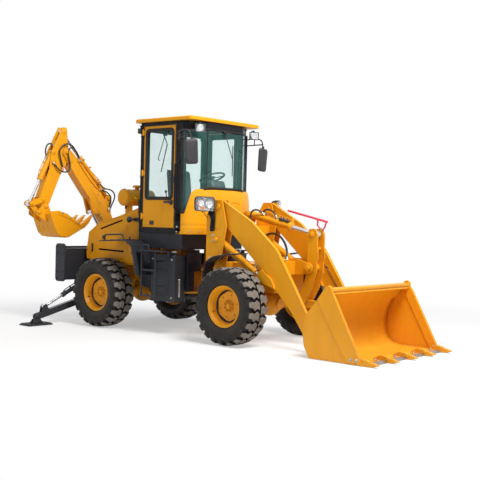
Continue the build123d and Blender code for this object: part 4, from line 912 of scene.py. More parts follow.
for side in (-1, 1):
    rail = [rearAt(x, side * y, z) for x, y, z in ((160, 960, 1322), (160, 960, 1410), (560, 960, 1428),
                                                   (600, 960, 1350))]
    pipe(bm, bend(rail, 0.05, 8), 0.012, 12)
    loop = [rearAt(x, side * y, z) for x, y, z in ((980, 935, 1208), (980, 935, 1290), (1110, 935, 1290),
                                                   (1110, 935, 1208))]
    pipe(bm, bend(loop, 0.055, 8), 0.010, 12)
    for x, y, z in ((160, 960, 1322), (600, 960, 1348), (980, 935, 1212), (1110, 935, 1212)):
        turned(bm, [(-0.004, 0.024), (0.003, 0.024), (0.005, 0.020)], rearAt(x, side * y, z), (0, 0, 1), 18)
    # slanted grips on the step bar, ridges along the ladder's rungs
    for k in range(18):
        place = rearAt(890 + k * 31, side * 885, 1213)
        softBlock(bm, place, (0.022, 0.006, 0.004), 0.001, Matrix.Rotation(0.7 if k % 2 else -0.7, 3, "Z"),
                  1)
        softBlock(bm, place + Vector((0, -side * 0.035, 0)), (0.022, 0.006, 0.004), 0.001,
                  Matrix.Rotation(-0.7 if k % 2 else 0.7, 3, "Z"), 1)
    for z in (556, 925):
        for k in range(11):
            turned(bm, [(-0.004, 0.0143), (-0.002, 0.0165), (0.002, 0.0165), (0.004, 0.0143)],
                   rearAt(980 + k * 24, side * 930, z), (1, 0, 0), 14)
    for x, z in ((150, 1326), (330, 1338), (500, 1348)):
        pipe(bm, [rearAt(x, side * 660, z), rearAt(x, side * 1000, z)], 0.006, 8)
    lip = rearLine(side * 1006, ((94, 1314), (640, 1348), (808, 1264), (918, 850)))
    pipe(bm, bend(lip, 0.04), 0.008, 8)
    for y in (700, 830, 950):
        pipe(bm, [rearAt(820, side * y, 1246), rearAt(915, side * y, 880)], 0.007, 8)
makePiece("guard_rails_and_tread", bm, greyPaint)

# Tanks: welded seams, drain plug, cap, sight gauge and lid bolts
bm, steel, sight = (bmesh.new() for k in range(3))
for side in (-1, 1):
    for z in (500, 1130):
        line = bend([rearAt(x, side * y, z) for x, y in ((1012, 600), (1012, 798), (1498, 798),
                                                         (1498, 580))], 0.03)
        pipe(bm, line, 0.005, 6)
    for x in (1130, 1380):
        softBlock(bm, rearAt(x, side * 801, 815), (0.040, 0.006, 0.560), 0.002)
    turned(steel, [(0, 0.042), (0.006, 0.046), (0.020, 0.046), (0.024, 0.040), (0.030, 0.012)],
           rearAt(1400, side * 700, 1184), (0, 0, 1), 24)
    for x in (1060, 1450):
        for z in (540, 1090):
            hexBolt(steel, rearAt(x, side * 801, z), (0, side, 0), 0.019)
    hexBolt(steel, rearAt(1250, side * 680, 478), (0, 0, -1), 0.026)
    for z in (560, 800):
        turned(steel, [(0, 0.014), (0.010, 0.014), (0.014, 0.010)], rearAt(1500, side * 700, z), (1, 0, 0),
               16)
        hexBolt(steel, rearAt(1514, side * 700, z), (1, 0, 0), 0.014, False)
    softBlock(steel, rearAt(1506, side * 700, 680), (0.010, 0.030, 0.225), 0.003)
    turned(sight, [(-0.105, 0.008), (0.105, 0.008)], rearAt(1513, side * 700, 680), (0, 0, 1), 16)
makePiece("tank_seams", bm, greyPaint)
makePiece("tank_fittings", steel, platedSteel)
makePiece("tank_gauges", sight, lensGlass)
bm = bmesh.new()
for side in (-1, 1):
    for y, z, wide, high in ((445, 1049, 0.280, 0.270), (514, 770, 0.142, 0.290)):
        softBlock(bm, rearAt(1534, side * y, z), (0.052, wide, high), 0.010)
        for lift in (-80, 0, 80):
            softBlock(bm, rearAt(1562, side * y, z + lift), (0.006, wide - 0.060, 0.014), 0.002)
    softBlock(bm, rearAt(1534, side * 588, 905), (0.040, 0.012, 0.480), 0.004)
    softBlock(bm, rearAt(1534, side * 445, 1206), (0.040, 0.220, 0.050), 0.006)
makePiece("valve_boxes", bm, blackPaint)
linerSet = {"y": 592, "outline": ((545, 1140), (1008, 1140), (1008, 640), (860, 600), (640, 660),
                                  (545, 780))}
bm = bmesh.new()
for side in (-1, 1):  # splash panels behind the rear wheels, charcoal, also standing in for the shade under the rear mudguards
    outline = rearLine(side * linerSet["y"], linerSet["outline"])
    cutPlate(bm, outline, (0, side * 0.008, 0), 0.003)
    for x in (600, 730, 860, 990):
        pipe(bm, [rearAt(x, side * (linerSet["y"] + 8), 1120), rearAt(x, side * (linerSet["y"] + 8), 720)],
             0.006, 8)
    pipe(bm, bend(outline[1:6], 0.02), 0.008, 8)
makePiece("arch_liners_and_shade", bm, greyPaint)
print("hood, cleaner, guards and tanks dressed")


# Cab: window gaskets, door furniture, lamps, mirrors
def roundedLoop(x0, x1, z0, z1, radius, steps=5):
    # points and outward directions round a soft-cornered rectangle
    loop = []
    for cx, cz, start in ((x1 - radius, z1 - radius, 0), (x0 + radius, z1 - radius, 90),
                          (x0 + radius, z0 + radius, 180), (x1 - radius, z0 + radius, 270)):
        for k in range(steps + 1):
            angle = math.radians(start + 90 * k / steps)
            loop.append((cx + radius * math.cos(angle), cz + radius * math.sin(angle), math.cos(angle),
                         math.sin(angle)))
    return loop


def loopRing(place, wide, tall, corner, steps):  # place(y, z) gives a point of the ring
    return [place(*point[:2]) for point in roundedLoop(-wide, wide, -tall, tall, corner, steps)]


def gasket(bm, place, box, radius, width, deep, out):
    # place(x, y, z) gives a point, out is the step outward along y
    rings = []
    for x, z, nx, nz in roundedLoop(*box, radius):
        ring = []
        for reach, rise in ((-1, 0), (-1, 0.7), (-0.6, 1), (0.6, 1), (1, 0.7), (1, 0)):
            ring.append(place(x + nx * reach * width / 2, out * rise * deep, z + nz * reach * width / 2))
        rings.append(ring)
    skin(bm, rings, loop=True)


cabSet = {"window": (780, 1300, 1985, 2955), "doorFace": 700, "doorInside": 659}
for side, name in ((-1, "right"), (1, "left")):
    face = side * cabSet["doorFace"]

    def onDoor(x, y, z):
        return rearAt(x, face + y, z)

    body = "door_" + name
    bm = bmesh.new()
    x0, x1, z0, z1 = cabSet["window"]
    gasket(bm, onDoor, (x0 - 14, x1 + 14, z0 - 14, z1 + 14), 42, 50, 7, side)
    gasket(bm, onDoor, (706, 1364, 1541, 3034), 12, 9, 3, side)
    gasket(bm, lambda x, y, z: rearAt(x, side * cabSet["doorInside"] - y, z), (x0 - 10, x1 + 10, z0 - 10,
                                                                               z1 + 10), 40, 36, 6, side)
    gasket(bm, lambda x, y, z: rearAt(x, side * cabSet["doorInside"] + y, z), (x0 + 4, x1 - 4, z0 + 4,
                                                                               z1 - 4), 34, 9, 42, side)
    makePiece("door_gaskets_" + name, bm, trimRubber, body)
    bm = bmesh.new()
    for xa, xb, za, zb in ((708, x0 - 6, 1480, 3030), (x1 + 6, 1362, 1480, 3030),
                           (x0 - 10, x1 + 10, z1 + 6, 3030), (x0 - 10, x1 + 10, 1480, z0 - 6)):
        softBlock(bm, rearAt((xa + xb) / 2, side * cabSet["doorInside"], (za + zb) / 2),
                  ((xb - xa) / 1000, 0.005, (zb - za) / 1000), 0.002)
    softBlock(bm, rearAt(1040, side * 652, 1760), (0.380, 0.012, 0.240), 0.005)
    makePiece("door_lining_" + name, bm, cabTrim, body)
    bm = bmesh.new()
    softBlock(bm, onDoor(1255, side * 26, 1915), (0.168, 0.024, 0.030), 0.008, None, 3)
    softBlock(bm, onDoor(1312, side * 10, 1912), (0.052, 0.018, 0.070), 0.006)
    turned(bm, [(0, 0.012), (0.004, 0.012), (0.006, 0.009), (0.005, 0.004)], onDoor(1312, side * 19, 1890),
           (0, side, 0), 18)
    softBlock(bm, onDoor(905, side * 4, 1612), (0.085, 0.007, 0.058), 0.002)
    for x in (872, 938):
        turned(bm, [(0, 0.005), (0.003, 0.0045), (0.004, 0.002)], onDoor(x, side * 7, 1612), (0, side, 0),
               12)
    softBlock(bm, onDoor(1345, side * 3, 2250), (0.018, 0.006, 0.110), 0.002)
    makePiece("door_handle_" + name, bm, housingPlastic, body)
    bm = bmesh.new()
    crease = [onDoor(x, 0, z) for x, z in ((1060, 1580), (1060, 1850), (1085, 1900), (1140, 1905))]
    pipe(bm, bend(crease, 0.03), 0.005, 8)
    for x in (800, 1180):
        pipe(bm, [onDoor(x - 55, 0, 1580), onDoor(x + 110, 0, 1580)], 0.004, 6)
    for z in (1660, 2300, 2900):  # hinge leaves' screws
        for x in (716, 734):
            hexBolt(bm, onDoor(x, side * 10, z + 45), (0, side, 0), 0.012, False)
    makePiece("door_pressings_" + name, bm, yellowPaint, body)

# Rubber along the glass: foot of the windscreen, corner posts and the header
bm = bmesh.new()


def wrapY(x):
    return 700 - (x - 1500) * 315 / 200


for side in (-1, 1):
    line = [(1504, 698, 2980), (1504, 698, 1764), (1552, wrapY(1552) + 2, 1764),
            (1646, wrapY(1646) + 2, 2054), (1686, wrapY(1686) + 2, 2112), (1702, 372, 2126),
            (1703, 200, 2127), (1703, 0, 2127)]
    pipe(bm, bend([rearAt(x, side * y, z + 6) for x, y, z in line], 0.05, 6), 0.021, 10)
    head = [(1504, 698, 2978), (1696, 387, 2978), (1702, 360, 2978), (1702, 0, 2978)]
    pipe(bm, [rearAt(x, side * y, z) for x, y, z in head], 0.013, 8)
    pipe(bm, rearLine(side * 384, ((1701, 2130), (1701, 2970))), 0.006, 8)  # where side and front pane meet
gasket(bm, lambda x, y, z: rearAt(632 + y, x, z), (-632, 632, 1958, 2987), 40, 40, 8, -1)
makePiece("windscreen_rubber", bm, trimRubber)

# Wipers: front one parked upright, rear one hanging from the header
bm = bmesh.new()
arm = [rearAt(1716, -40, 2960), rearAt(1726, -40, 2940), rearAt(1722, 150, 2560)]
pipe(bm, bend(arm, 0.02), 0.006, 8)
pipe(bm, [rearAt(1716, 150, 2780), rearAt(1716, 150, 2330)], 0.007, 8)
softBlock(bm, rearAt(1716, -40, 2962), (0.030, 0.060, 0.040), 0.006)
arm = [rearAt(624, -190, 2965), rearAt(612, -190, 2940), rearAt(616, -325, 2570), rearAt(618, -285, 2562)]
pipe(bm, bend(arm, 0.02), 0.006, 8)
pipe(bm, [rearAt(620, -215, 2960), rearAt(622, -140, 2820), rearAt(622, -258, 2390)], 0.008, 8)
softBlock(bm, rearAt(622, -190, 2968), (0.026, 0.070, 0.044), 0.006)
makePiece("wipers", bm, trimRubber)

# Work lamps
workLamps = [{"at": (1742, -590, 2978), "turn": -32}, {"at": (1742, 600, 2966), "turn": -22},
             {"at": (596, -690, 2972), "turn": 196}, {"at": (596, 690, 2972), "turn": 164}]
shell, glassy, bowls = (bmesh.new() for k in range(3))
for lamp in workLamps:
    turn = Matrix.Rotation(math.radians(lamp["turn"]), 3, "Z")
    at = rearAt(*lamp["at"])
    ahead = turn @ Vector((1, 0, 0))
    sizes = (0.160, 0.122) if -90 < lamp["turn"] < 90 else (0.095, 0.080)
    rings = []
    for back, grow in ((-0.050, 0.45), (-0.044, 0.62), (-0.020, 0.90), (0.0, 1.0), (0.008, 1.0),
                       (0.011, 0.95), (0.011, 0.86), (0.004, 0.82)):
        rings.append(loopRing(lambda y, z: at + turn @ Vector((back, y * grow, z * grow)),
                              sizes[0] / 2, sizes[1] / 2, 0.014, 3))
    skin(shell, rings, caps=True)
    softBlock(glassy, at + ahead * 0.006, (0.006, sizes[0] * 0.86, sizes[1] * 0.84), 0.0025, turn)
    bowl = sizes[1] * 0.40
    turned(bowls, [(0.0045, bowl), (0.0025, bowl * 0.9), (-0.002, bowl * 0.55), (-0.004, 0.012),
                   (0.004, 0.011), (0.0045, 0.006)], at + ahead * 0.001, ahead, 24)
    softBlock(bowls, at + ahead * 0.0035, (0.001, sizes[0] * 0.84, sizes[1] * 0.82), 0.0004, turn, 1)
    softBlock(shell, at - ahead * 0.020 + Vector((0, 0, 0.052)), (0.030, 0.012, 0.060), 0.003, turn)
    softBlock(shell, at - ahead * 0.030 + Vector((0, 0, 0.078)), (0.060, 0.040, 0.010), 0.003, turn)
    hexBolt(shell, at - ahead * 0.020 + turn @ Vector((0, 0.008, 0)) + Vector((0, 0, 0.046)),
            turn @ Vector((0, 1, 0)), 0.014, False)
makePiece("work_lamp_shells", shell, housingPlastic)
makePiece("work_lamp_lenses", glassy, lensGlass)
makePiece("work_lamp_bowls", bowls, reflector)

# Mirrors: ribbed shells with glass facing back, on two tubes from the corner post
mirrorSet = {"half": (0.104, 0.178), "corner": 0.040, "tube": 0.0095,
             "sides": ((-1, -21, (1786, -802, 2627)), (1, 4, (1752, 812, 2615)))}
shell = bmesh.new()
glass = bmesh.new()
wide, tall = mirrorSet["half"]
for side, angle, at in mirrorSet["sides"]:
    middle = rearAt(*at)
    turn = Matrix.Rotation(math.radians(angle), 3, "Z") @ Matrix.Rotation(math.radians(-4.5 * side), 3, "X")

    def shellPoint(y, z):  # the shell narrows a little toward its foot
        taper = 0.95 + 0.05 * z / tall
        return middle + turn @ Vector((ahead, y * grow * taper, z * (1 - (1 - grow) * 0.5)))

    rings = []
    for ahead, grow in ((-0.018, 0.90), (-0.0175, 0.985), (-0.008, 1.0), (0.004, 0.98), (0.014, 0.92),
                        (0.021, 0.80), (0.024, 0.60), (0.0245, 0.3)):
        rings.append(loopRing(shellPoint, wide, tall, mirrorSet["corner"], 5))
    skin(shell, rings)
    for k in range(-8, 9):  # vertical ribs down the shell's back
        rise = 0.0236 - 0.00009 * k * k
        softBlock(shell, middle + turn @ Vector((rise, k * 0.0082, 0)), (0.0024, 0.0028, 0.245 - abs(k)
                                                                         * 0.007), 0.0008, turn, 1)
    softBlock(glass, middle + turn @ Vector((-0.0175, 0, 0)), (0.003, 0.174, 0.330), 0.0012, turn)
    softBlock(shell, rearAt(1456, side * 708, 2876), (0.046, 0.016, 0.150), 0.004)
    for z in (2922, 2834):
        softBlock(shell, rearAt(1456, side * 718, z), (0.044, 0.026, 0.030), 0.005)
        hexBolt(shell, rearAt(1456, side * 730, z), (0, side, 0), 0.014, False)
    hang = [rearAt(x, side * y, z) for x, y, z in ((1456, 716, 2922), (1590, 776, 2946), (1738, 802, 2926),
                                                   (at[0], abs(at[1]), 2780))]
    pipe(shell, bend(hang, 0.075, 8), mirrorSet["tube"], 12)
    pipe(shell, [rearAt(1456, side * 716, 2834), rearAt(1640, side * 782, 2846),
                 rearAt(at[0] - 6, at[1], 2852)], mirrorSet["tube"], 12)
    pipe(shell, [rearAt(1610, side * 774, 2842), rearAt(1606, side * 772, 2948)], 0.008, 10)
    turned(shell, [(-0.026, 0.013), (-0.022, 0.019), (0.022, 0.019), (0.026, 0.013)],
           rearAt(at[0], at[1], 2800), (0, 0, 1), 18)
mirrorShells = makePiece("mirror_shells", shell, housingPlastic)
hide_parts("mirrors")
makePiece("mirror_glasses", glass, mirrorGlass)

# Roof and posts: drip rail, header seam, roof ribs, bolts
bm = bmesh.new()
corners = [(560, 744), (1718, 744), (1718, -744), (560, -744)]
ring = bend([rearAt(x, y, 3096) for x, y in corners + corners[:1]], 0.06, 6)
pipe(bm, ring[:-1], 0.007, 8, loop=True)
for y in (-500, -250, 0, 250, 500):
    softBlock(bm, rearAt(1130, y, 3142), (0.980, 0.050, 0.007), 0.003, None, 1)
makePiece("roof_ribs", bm, yellowPaint)
bm = bmesh.new()
for side in (-1, 1):
    for z in (1500, 3062):
        for x in (670, 1020, 1400, 1470):
            hexBolt(bm, rearAt(x, side * 701, z), (0, side, 0), 0.017)
    pipe(bm, [rearAt(652, side * 702, 1480), rearAt(652, side * 702, 3070)], 0.005, 6)
    pipe(bm, [rearAt(1410, side * 702, 1480), rearAt(1410, side * 702, 3070)], 0.004, 6)
    for x in (1430, 1455, 1480):
        pipe(bm, [rearAt(x, side * 701, 1560), rearAt(x, side * 701, 1735)], 0.004, 6)
    for z in (2500, 1790):  # feet of the grab bars
        turned(bm, [(0, 0.026), (0.005, 0.026), (0.008, 0.020)], rearAt(1440, side * 700,
                                                                        z + (14 if z > 2000 else -14)),
                                                                        (0, side, 0), 20)
for z in range(1560, 1900, 34):  # rear wall vents under the window
    softBlock(bm, rearAt(631, 0, z), (0.010, 0.760, 0.012), 0.003, Matrix.Rotation(0.5, 3, "Y"), 1)
makePiece("cab_bolts_and_vents", bm, blackPaint)
bm = bmesh.new()
softBlock(bm, rearAt(1120, 0, 3060), (0.930, 1.240, 0.020), 0.008)
for y in (-380, 0, 380):
    softBlock(bm, rearAt(1120, y, 3048), (0.800, 0.300, 0.012), 0.005)
makePiece("headliner", bm, cabTrim)


# Operator station, seen through the glass
# closed pad with crowned faces and sewn channels across it
def puffed(low, high, crown, seams, bulge=0.12):
    low, high = Vector(low), Vector(high)
    bm = bmesh.new()
    wide, deep = 26, 26  # faces along each way
    size = high - low
    top, bottom = [], []
    for i in range(wide + 1):
        rowTop, rowBottom = [], []
        for j in range(deep + 1):
            u, v = i / wide, j / deep
            edge = (1 - abs(2 * u - 1) ** 6) ** 0.5 * (1 - abs(2 * v - 1) ** 6) ** 0.5
            pull = 1 - 0.035 * (1 - abs(2 * v - 1) ** 2)
            x = low.x + size.x * (0.5 + (u - 0.5) * (1 - 0.03 * (1 - abs(2 * v - 1) ** 2)))
            y = low.y + size.y * (0.5 + (v - 0.5) * pull)
            dent = 0.0
            for seam in seams:
                dent += 0.20 * math.exp(-((v - seam) / 0.018) ** 2)
            side = 1 + bulge * (abs(2 * v - 1) ** 3)
            height = size.z * (0.62 + (crown * edge) * side - dent * 0.6) * min(1.0, edge * 1.35 + 0.30)
            rowTop.append(bm.verts.new((x, y, low.z + min(height, size.z))))
            rowBottom.append(bm.verts.new((x, y, low.z + size.z * 0.14 * (1 - edge))))
        top.append(rowTop)
        bottom.append(rowBottom)
    for i in range(wide):
        for j in range(deep):
            bm.faces.new((top[i][j], top[i + 1][j], top[i + 1][j + 1], top[i][j + 1]))
            bm.faces.new((bottom[i][j], bottom[i][j + 1], bottom[i + 1][j + 1], bottom[i + 1][j]))
    for i in range(wide):
        bm.faces.new((top[i][0], bottom[i][0], bottom[i + 1][0], top[i + 1][0]))
        bm.faces.new((top[i + 1][deep], bottom[i + 1][deep], bottom[i][deep], top[i][deep]))
    for j in range(deep):
        bm.faces.new((top[0][j + 1], bottom[0][j + 1], bottom[0][j], top[0][j]))
        bm.faces.new((top[wide][j], bottom[wide][j], bottom[wide][j + 1], top[wide][j + 1]))
    return bm


def padPiece(name, bm, matrix):
    bmesh.ops.transform(bm, matrix=matrix, verts=bm.verts)
    pad = makePiece(name, bm, seatCloth, "rear_unit", sharp=60)
    smoothing = pad.modifiers.new("round", "SUBSURF")
    smoothing.levels = smoothing.render_levels = 1
    return pad


seatSet = {"seams": (0.2, 0.4, 0.6, 0.8), "y": -90}
cushion = puffed((-0.240, -0.235, 0), (0.240, 0.235, 0.098), 0.30, seatSet["seams"])
seatY = seatSet["y"]
padPiece("seat_cushion", cushion, Matrix.Translation(rearAt(1080, seatY, 1701)))
backTurn = Matrix.Translation(rearAt(836, seatY, 2120)) @ Matrix.Rotation(math.radians(83), 4, "Y")
backrest = puffed((-0.300, -0.232, 0), (0.300, 0.232, 0.092), 0.30, seatSet["seams"])
padPiece("seat_backrest", backrest, backTurn)
headTurn = Matrix.Translation(rearAt(798, seatY, 2490)) @ Matrix.Rotation(math.radians(85), 4, "Y")
padPiece("seat_headrest", puffed((-0.075, -0.130, 0), (0.075, 0.130, 0.080), 0.30, (0.5,)), headTurn)
bm = bmesh.new()
softBlock(bm, rearAt(1040, seatY, 1690), (0.420, 0.400, 0.026), 0.010)
for k in range(6):  # bellows of the suspension seat
    grow = 0.250 if k % 2 else 0.225
    softBlock(bm, rearAt(1040, seatY, 1520 + k * 28), (grow, grow, 0.024), 0.010)
softBlock(bm, rearAt(822, seatY, 2110), (0.020, 0.410, 0.540), 0.010,
          Matrix.Rotation(math.radians(-7), 3, "Y"))
for y in (-60, 60):
    pipe(bm, [rearAt(800, seatY + y, 2360), rearAt(786, seatY + y, 2470)], 0.008, 8)
for side in (-1, 1):
    softBlock(bm, rearAt(1020, seatY + side * 272, 1905), (0.250, 0.050, 0.034), 0.014)
    pipe(bm, [rearAt(910, seatY + side * 268, 1760), rearAt(910, seatY + side * 272, 1895)], 0.012, 10)
rings = []
for x, foot, crown, halfWide in ((1562, 1492, 1900, 0.310), (1600, 1492, 1975, 0.322),
                                 (1640, 1492, 1988, 0.322), (1676, 1492, 1975, 0.300)):
    loop = roundedLoop(-halfWide, halfWide, foot / 1000, crown / 1000, 0.045, 4)
    rings.append([Vector((rearAt(x, 0, 0).x, *point[:2])) for point in loop])
skin(bm, rings)
softBlock(bm, rearAt(745, 0, 1680), (0.084, 0.640, 0.400), 0.020)
softBlock(bm, rearAt(745, 0, 1893), (0.078, 0.620, 0.020), 0.008)
for y in (-330, 330):
    softBlock(bm, rearAt(1180, y * 1.5, 1640), (0.330, 0.160, 0.260), 0.025)
softBlock(bm, rearAt(1120, 0, 1494), (0.860, 1.220, 0.008), 0.003)
makePiece("station_trim", bm, cabTrim)
bm = bmesh.new()
column = [rearAt(1600, 0, 1950), rearAt(1520, 0, 2120), rearAt(1452, 0, 2296)]
pipe(bm, bend(column, 0.1), 0.026, 16)
softBlock(bm, rearAt(1535, 20, 2150), (0.110, 0.300, 0.210), 0.035, Matrix.Rotation(-0.35, 3, "Y"), 3)
softBlock(bm, rearAt(1486, 20, 2168), (0.012, 0.250, 0.150), 0.005, Matrix.Rotation(-0.35, 3, "Y"))
for k in range(5):  # boot round the column's foot
    place = rearAt(1600 - k * 9, 0, 1958 + k * 8)
    turned(bm, [(-0.004, 0.050 - k * 0.004), (0, 0.056 - k * 0.005), (0.004, 0.048 - k * 0.004)], place,
           (-0.75, 0, 0.66), 24)
wheelAxis = Vector((-70, 0, 180)).normalized()
rimSide, rimUp = across(wheelAxis)
hub = rearAt(1450, 0, 2304)
ring = [hub + (rimSide * math.cos(a) + rimUp * math.sin(a)) * 0.186 for a in turns(64)]
pipe(bm, ring, 0.0135, 12, loop=True)
turned(bm, [(-0.020, 0.034), (0.002, 0.044), (0.010, 0.042), (0.016, 0.030), (0.018, 0.004)], hub,
       wheelAxis, 28)
for k in range(3):
    angle = math.radians(90 + 120 * k)
    tip = hub + (rimSide * math.cos(angle) + rimUp * math.sin(angle)) * 0.182
    pipe(bm, [hub + wheelAxis * 0.002, hub.lerp(tip, 0.4) - wheelAxis * 0.006, tip], 0.0085, 8)
turned(bm, [(0, 0.006), (0.020, 0.007), (0.030, 0.018), (0.050, 0.020), (0.060, 0.012)], hub + rimSide
       * 0.150 + rimUp * 0.108, wheelAxis, 16)
for y in (-240, -120, 120, 240):
    stalk = [rearAt(745, y, 1900), rearAt(735, y, 1990), rearAt(720, y, 2078)]
    pipe(bm, stalk, 0.0075, 10)
    turned(bm, [(-0.006, 0.008), (0.000, 0.015), (0.016, 0.0205), (0.030, 0.018), (0.037, 0.008)],
           rearAt(721, y, 2072), (-0.12, 0, 1), 18)
    for k in range(3):
        turned(bm, [(-0.003, 0.026 - k * 0.006), (0, 0.029 - k * 0.006), (0.003, 0.025 - k * 0.006)],
               rearAt(744, y, 1908 + k * 8), (0, 0, 1), 18)
for y in (-90, 60, 150):
    softBlock(bm, rearAt(1500, y, 1560), (0.016, 0.070, 0.110), 0.006, Matrix.Rotation(-0.5, 3, "Y"))
    pipe(bm, [rearAt(1508, y, 1590), rearAt(1570, y, 1640)], 0.008, 8)
for k in range(5):
    turned(bm, [(0, 0.012), (0.006, 0.013), (0.009, 0.009)], rearAt(1563, -180 + k * 90, 1780),
           (-1, 0, 0.2), 16)
controls = makePiece("station_controls", bm, housingPlastic, "rear_unit")
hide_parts("operator_station")


# Nose cowl: one domed skin from the cab's feet up to the glass
noseSet = {"foot": 1459, "half": 700, "start": 1500, "reach": 296, "power": 2.45, "across": 128, "rows": 66}


def noseTop(x):
    line = ((1400, 1752), (1556, 1752), (1650, 2046), (1690, 2104), (1716, 2112), (1800, 2112))
    for (xa, za), (xb, zb) in zip(line, line[1:]):
        if x <= xb:
            return za + (zb - za) * (x - xa) / (xb - xa)
    return 2112


def noseAtPoint(look, t, v):  # t runs -1 to 1 round the plan, v from the foot to the top
    angle = t * math.pi / 2
    power = 2 / look["power"]
    y = look["half"] * math.copysign(abs(math.sin(angle)) ** power, t)
    ahead = abs(math.cos(angle)) ** power
    x = look["start"] + look["reach"] * ahead
    top = noseTop(x - 8)
    z = look["foot"] + (top - look["foot"]) * v
    lean = 0.0 if z < 1800 else (z - 1800) / 312
    x -= (look["reach"] * ahead) * (0.02 * min(1, max(0, (z - 1457) / 343)) + 0.24 * max(0, lean) ** 2.2)
    crease = 7 * math.exp(-((z - 1585) / 16) ** 2)
    x -= crease * ahead
    y -= math.copysign(crease * 0.7 * (1 - ahead), y)
    if abs(y) < 420 and 1640 < z < 2090:
        ridge = 370 - (2030 - z) * 80 / 260
        x += 15 * math.exp(-((abs(y) - ridge) / 26) ** 2) * min(1, (z - 1640) / 80, (2090 - z) / 50)
        smile = 1925 - 0.004 * (y - 175) ** 2
        if 70 < y < 280:
            x -= 13 * math.exp(-((z - smile) / 9) ** 2)
    return Vector((rearAt(min(x, 1797), 0, 0).x, y / 1000, z / 1000))


bm = bmesh.new()
grid = []
for i in range(noseSet["across"] + 1):
    t = -1 + 2 * i / noseSet["across"]
    column = [noseAtPoint(noseSet, t, j / noseSet["rows"]) for j in range(noseSet["rows"] + 1)]
    grid.append(column)
back = [Vector((rearAt(1396, 0, 0).x, p.y, p.z)) for p in grid[0]]
grid.insert(0, back)
grid.append([Vector((p.x, -p.y, p.z)) for p in back])
outer = [[bm.verts.new(p) for p in column] for column in grid]
for i in range(len(outer) - 1):
    for j in range(noseSet["rows"]):
        bm.faces.new((outer[i][j], outer[i + 1][j], outer[i + 1][j + 1], outer[i][j + 1]))
bmesh.ops.recalc_face_normals(bm, faces=bm.faces[:])
front = bm.faces[len(bm.faces) // 2]
front.normal_update()
if front.normal.x < 0:
    bmesh.ops.reverse_faces(bm, faces=bm.faces[:])
nose = makePiece("nose_cowl", bm, yellowPaint, "rear_unit", sharp=50, flip=False)
thick = nose.modifiers.new("sheet", "SOLIDIFY")
thick.thickness = 0.012
thick.offset = -1
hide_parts("cab_nose")
bm = bmesh.new()
for side in (-1, 1):
    for z in (1490, 1560):
        hexBolt(bm, rearAt(1430, side * 702, z), (0, side, 0), 0.018)
    for x in (1640, 1720):
        y = 700 * (1 - ((x - 1500) / 296) ** 2.45) ** (1 / 2.45)
        hexBolt(bm, rearAt(x, side * (y + 2), 1500), (0.5, side, 0), 0.016)
makePiece("nose_bolts", bm, platedSteel, "rear_unit")
print("cab, station and nose built")


# Hoses: each is one smooth line; where it crosses a joint it is a fixed tube attached to neither body, and
# only its end fittings ride the bodies
def curveOf(name, points):
    curve = bpy.data.curves.new(name, "CURVE")
    curve.dimensions = "3D"
    curve.resolution_u = 10
    spline = curve.splines.new("NURBS")
    spline.points.add(len(points) - 1)
    for item, point in zip(spline.points, points):
        item.co = (*point, 1.0)
    spline.order_u = 3
    spline.use_endpoint_u = True
    return curve


def lineOf(curve):
    holder = bpy.data.objects.new("line", curve)
    addToScene(holder)
    bpy.context.view_layer.update()
    mesh = bpy.data.meshes.new_from_object(holder.evaluated_get(bpy.context.evaluated_depsgraph_get()))
    line = [point.co.copy() for point in mesh.vertices]
    bpy.data.objects.remove(holder)
    bpy.data.meshes.remove(mesh)
    return line


def hoseEnd(bm, point, way, radius):  # swivel nut, then the crimped ferrule over the hose
    way = way.normalized()
    turned(bm, [(-0.020, radius * 0.8), (-0.020, radius + 0.0045), (-0.006, radius + 0.0045),
                (-0.004, radius + 0.002)], point, way, 6)
    turned(bm, [(-0.005, radius + 0.0015), (-0.002, radius + 0.0034), (0.008, radius + 0.0034),
                (0.009, radius + 0.0026), (0.012, radius + 0.0026), (0.013, radius + 0.0034),
                (0.024, radius + 0.0034), (0.027, radius + 0.0008)], point, way, 20)


def layHose(name, look):
    points = look["points"]
    radius = look["diameter"] / 2
    curve = curveOf(name, points)
    first, last = look["bodies"]
    if first == last:
        curve.bevel_depth = radius
        curve.bevel_resolution = 5
        curve.use_fill_caps = True
        curve.materials.append(hoseRubber)
        hose = bpy.data.objects.new(name, curve)
        addToScene(hose)
        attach(hose, first)
    else:
        line = lineOf(curve)
        bm = bmesh.new()
        pipe(bm, line, radius, 14)
        hose = makePiece(name, bm, hoseRubber, None, sharp=60)
        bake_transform(hose)
    for end, way, body, tail in ((points[0], points[1] - points[0], first, "a"),
                                 (points[-1], points[-2] - points[-1], last, "b")):
        bm = bmesh.new()
        hoseEnd(bm, end, way, radius)
        makePiece(name + "_fitting_" + tail, bm, platedSteel, body)


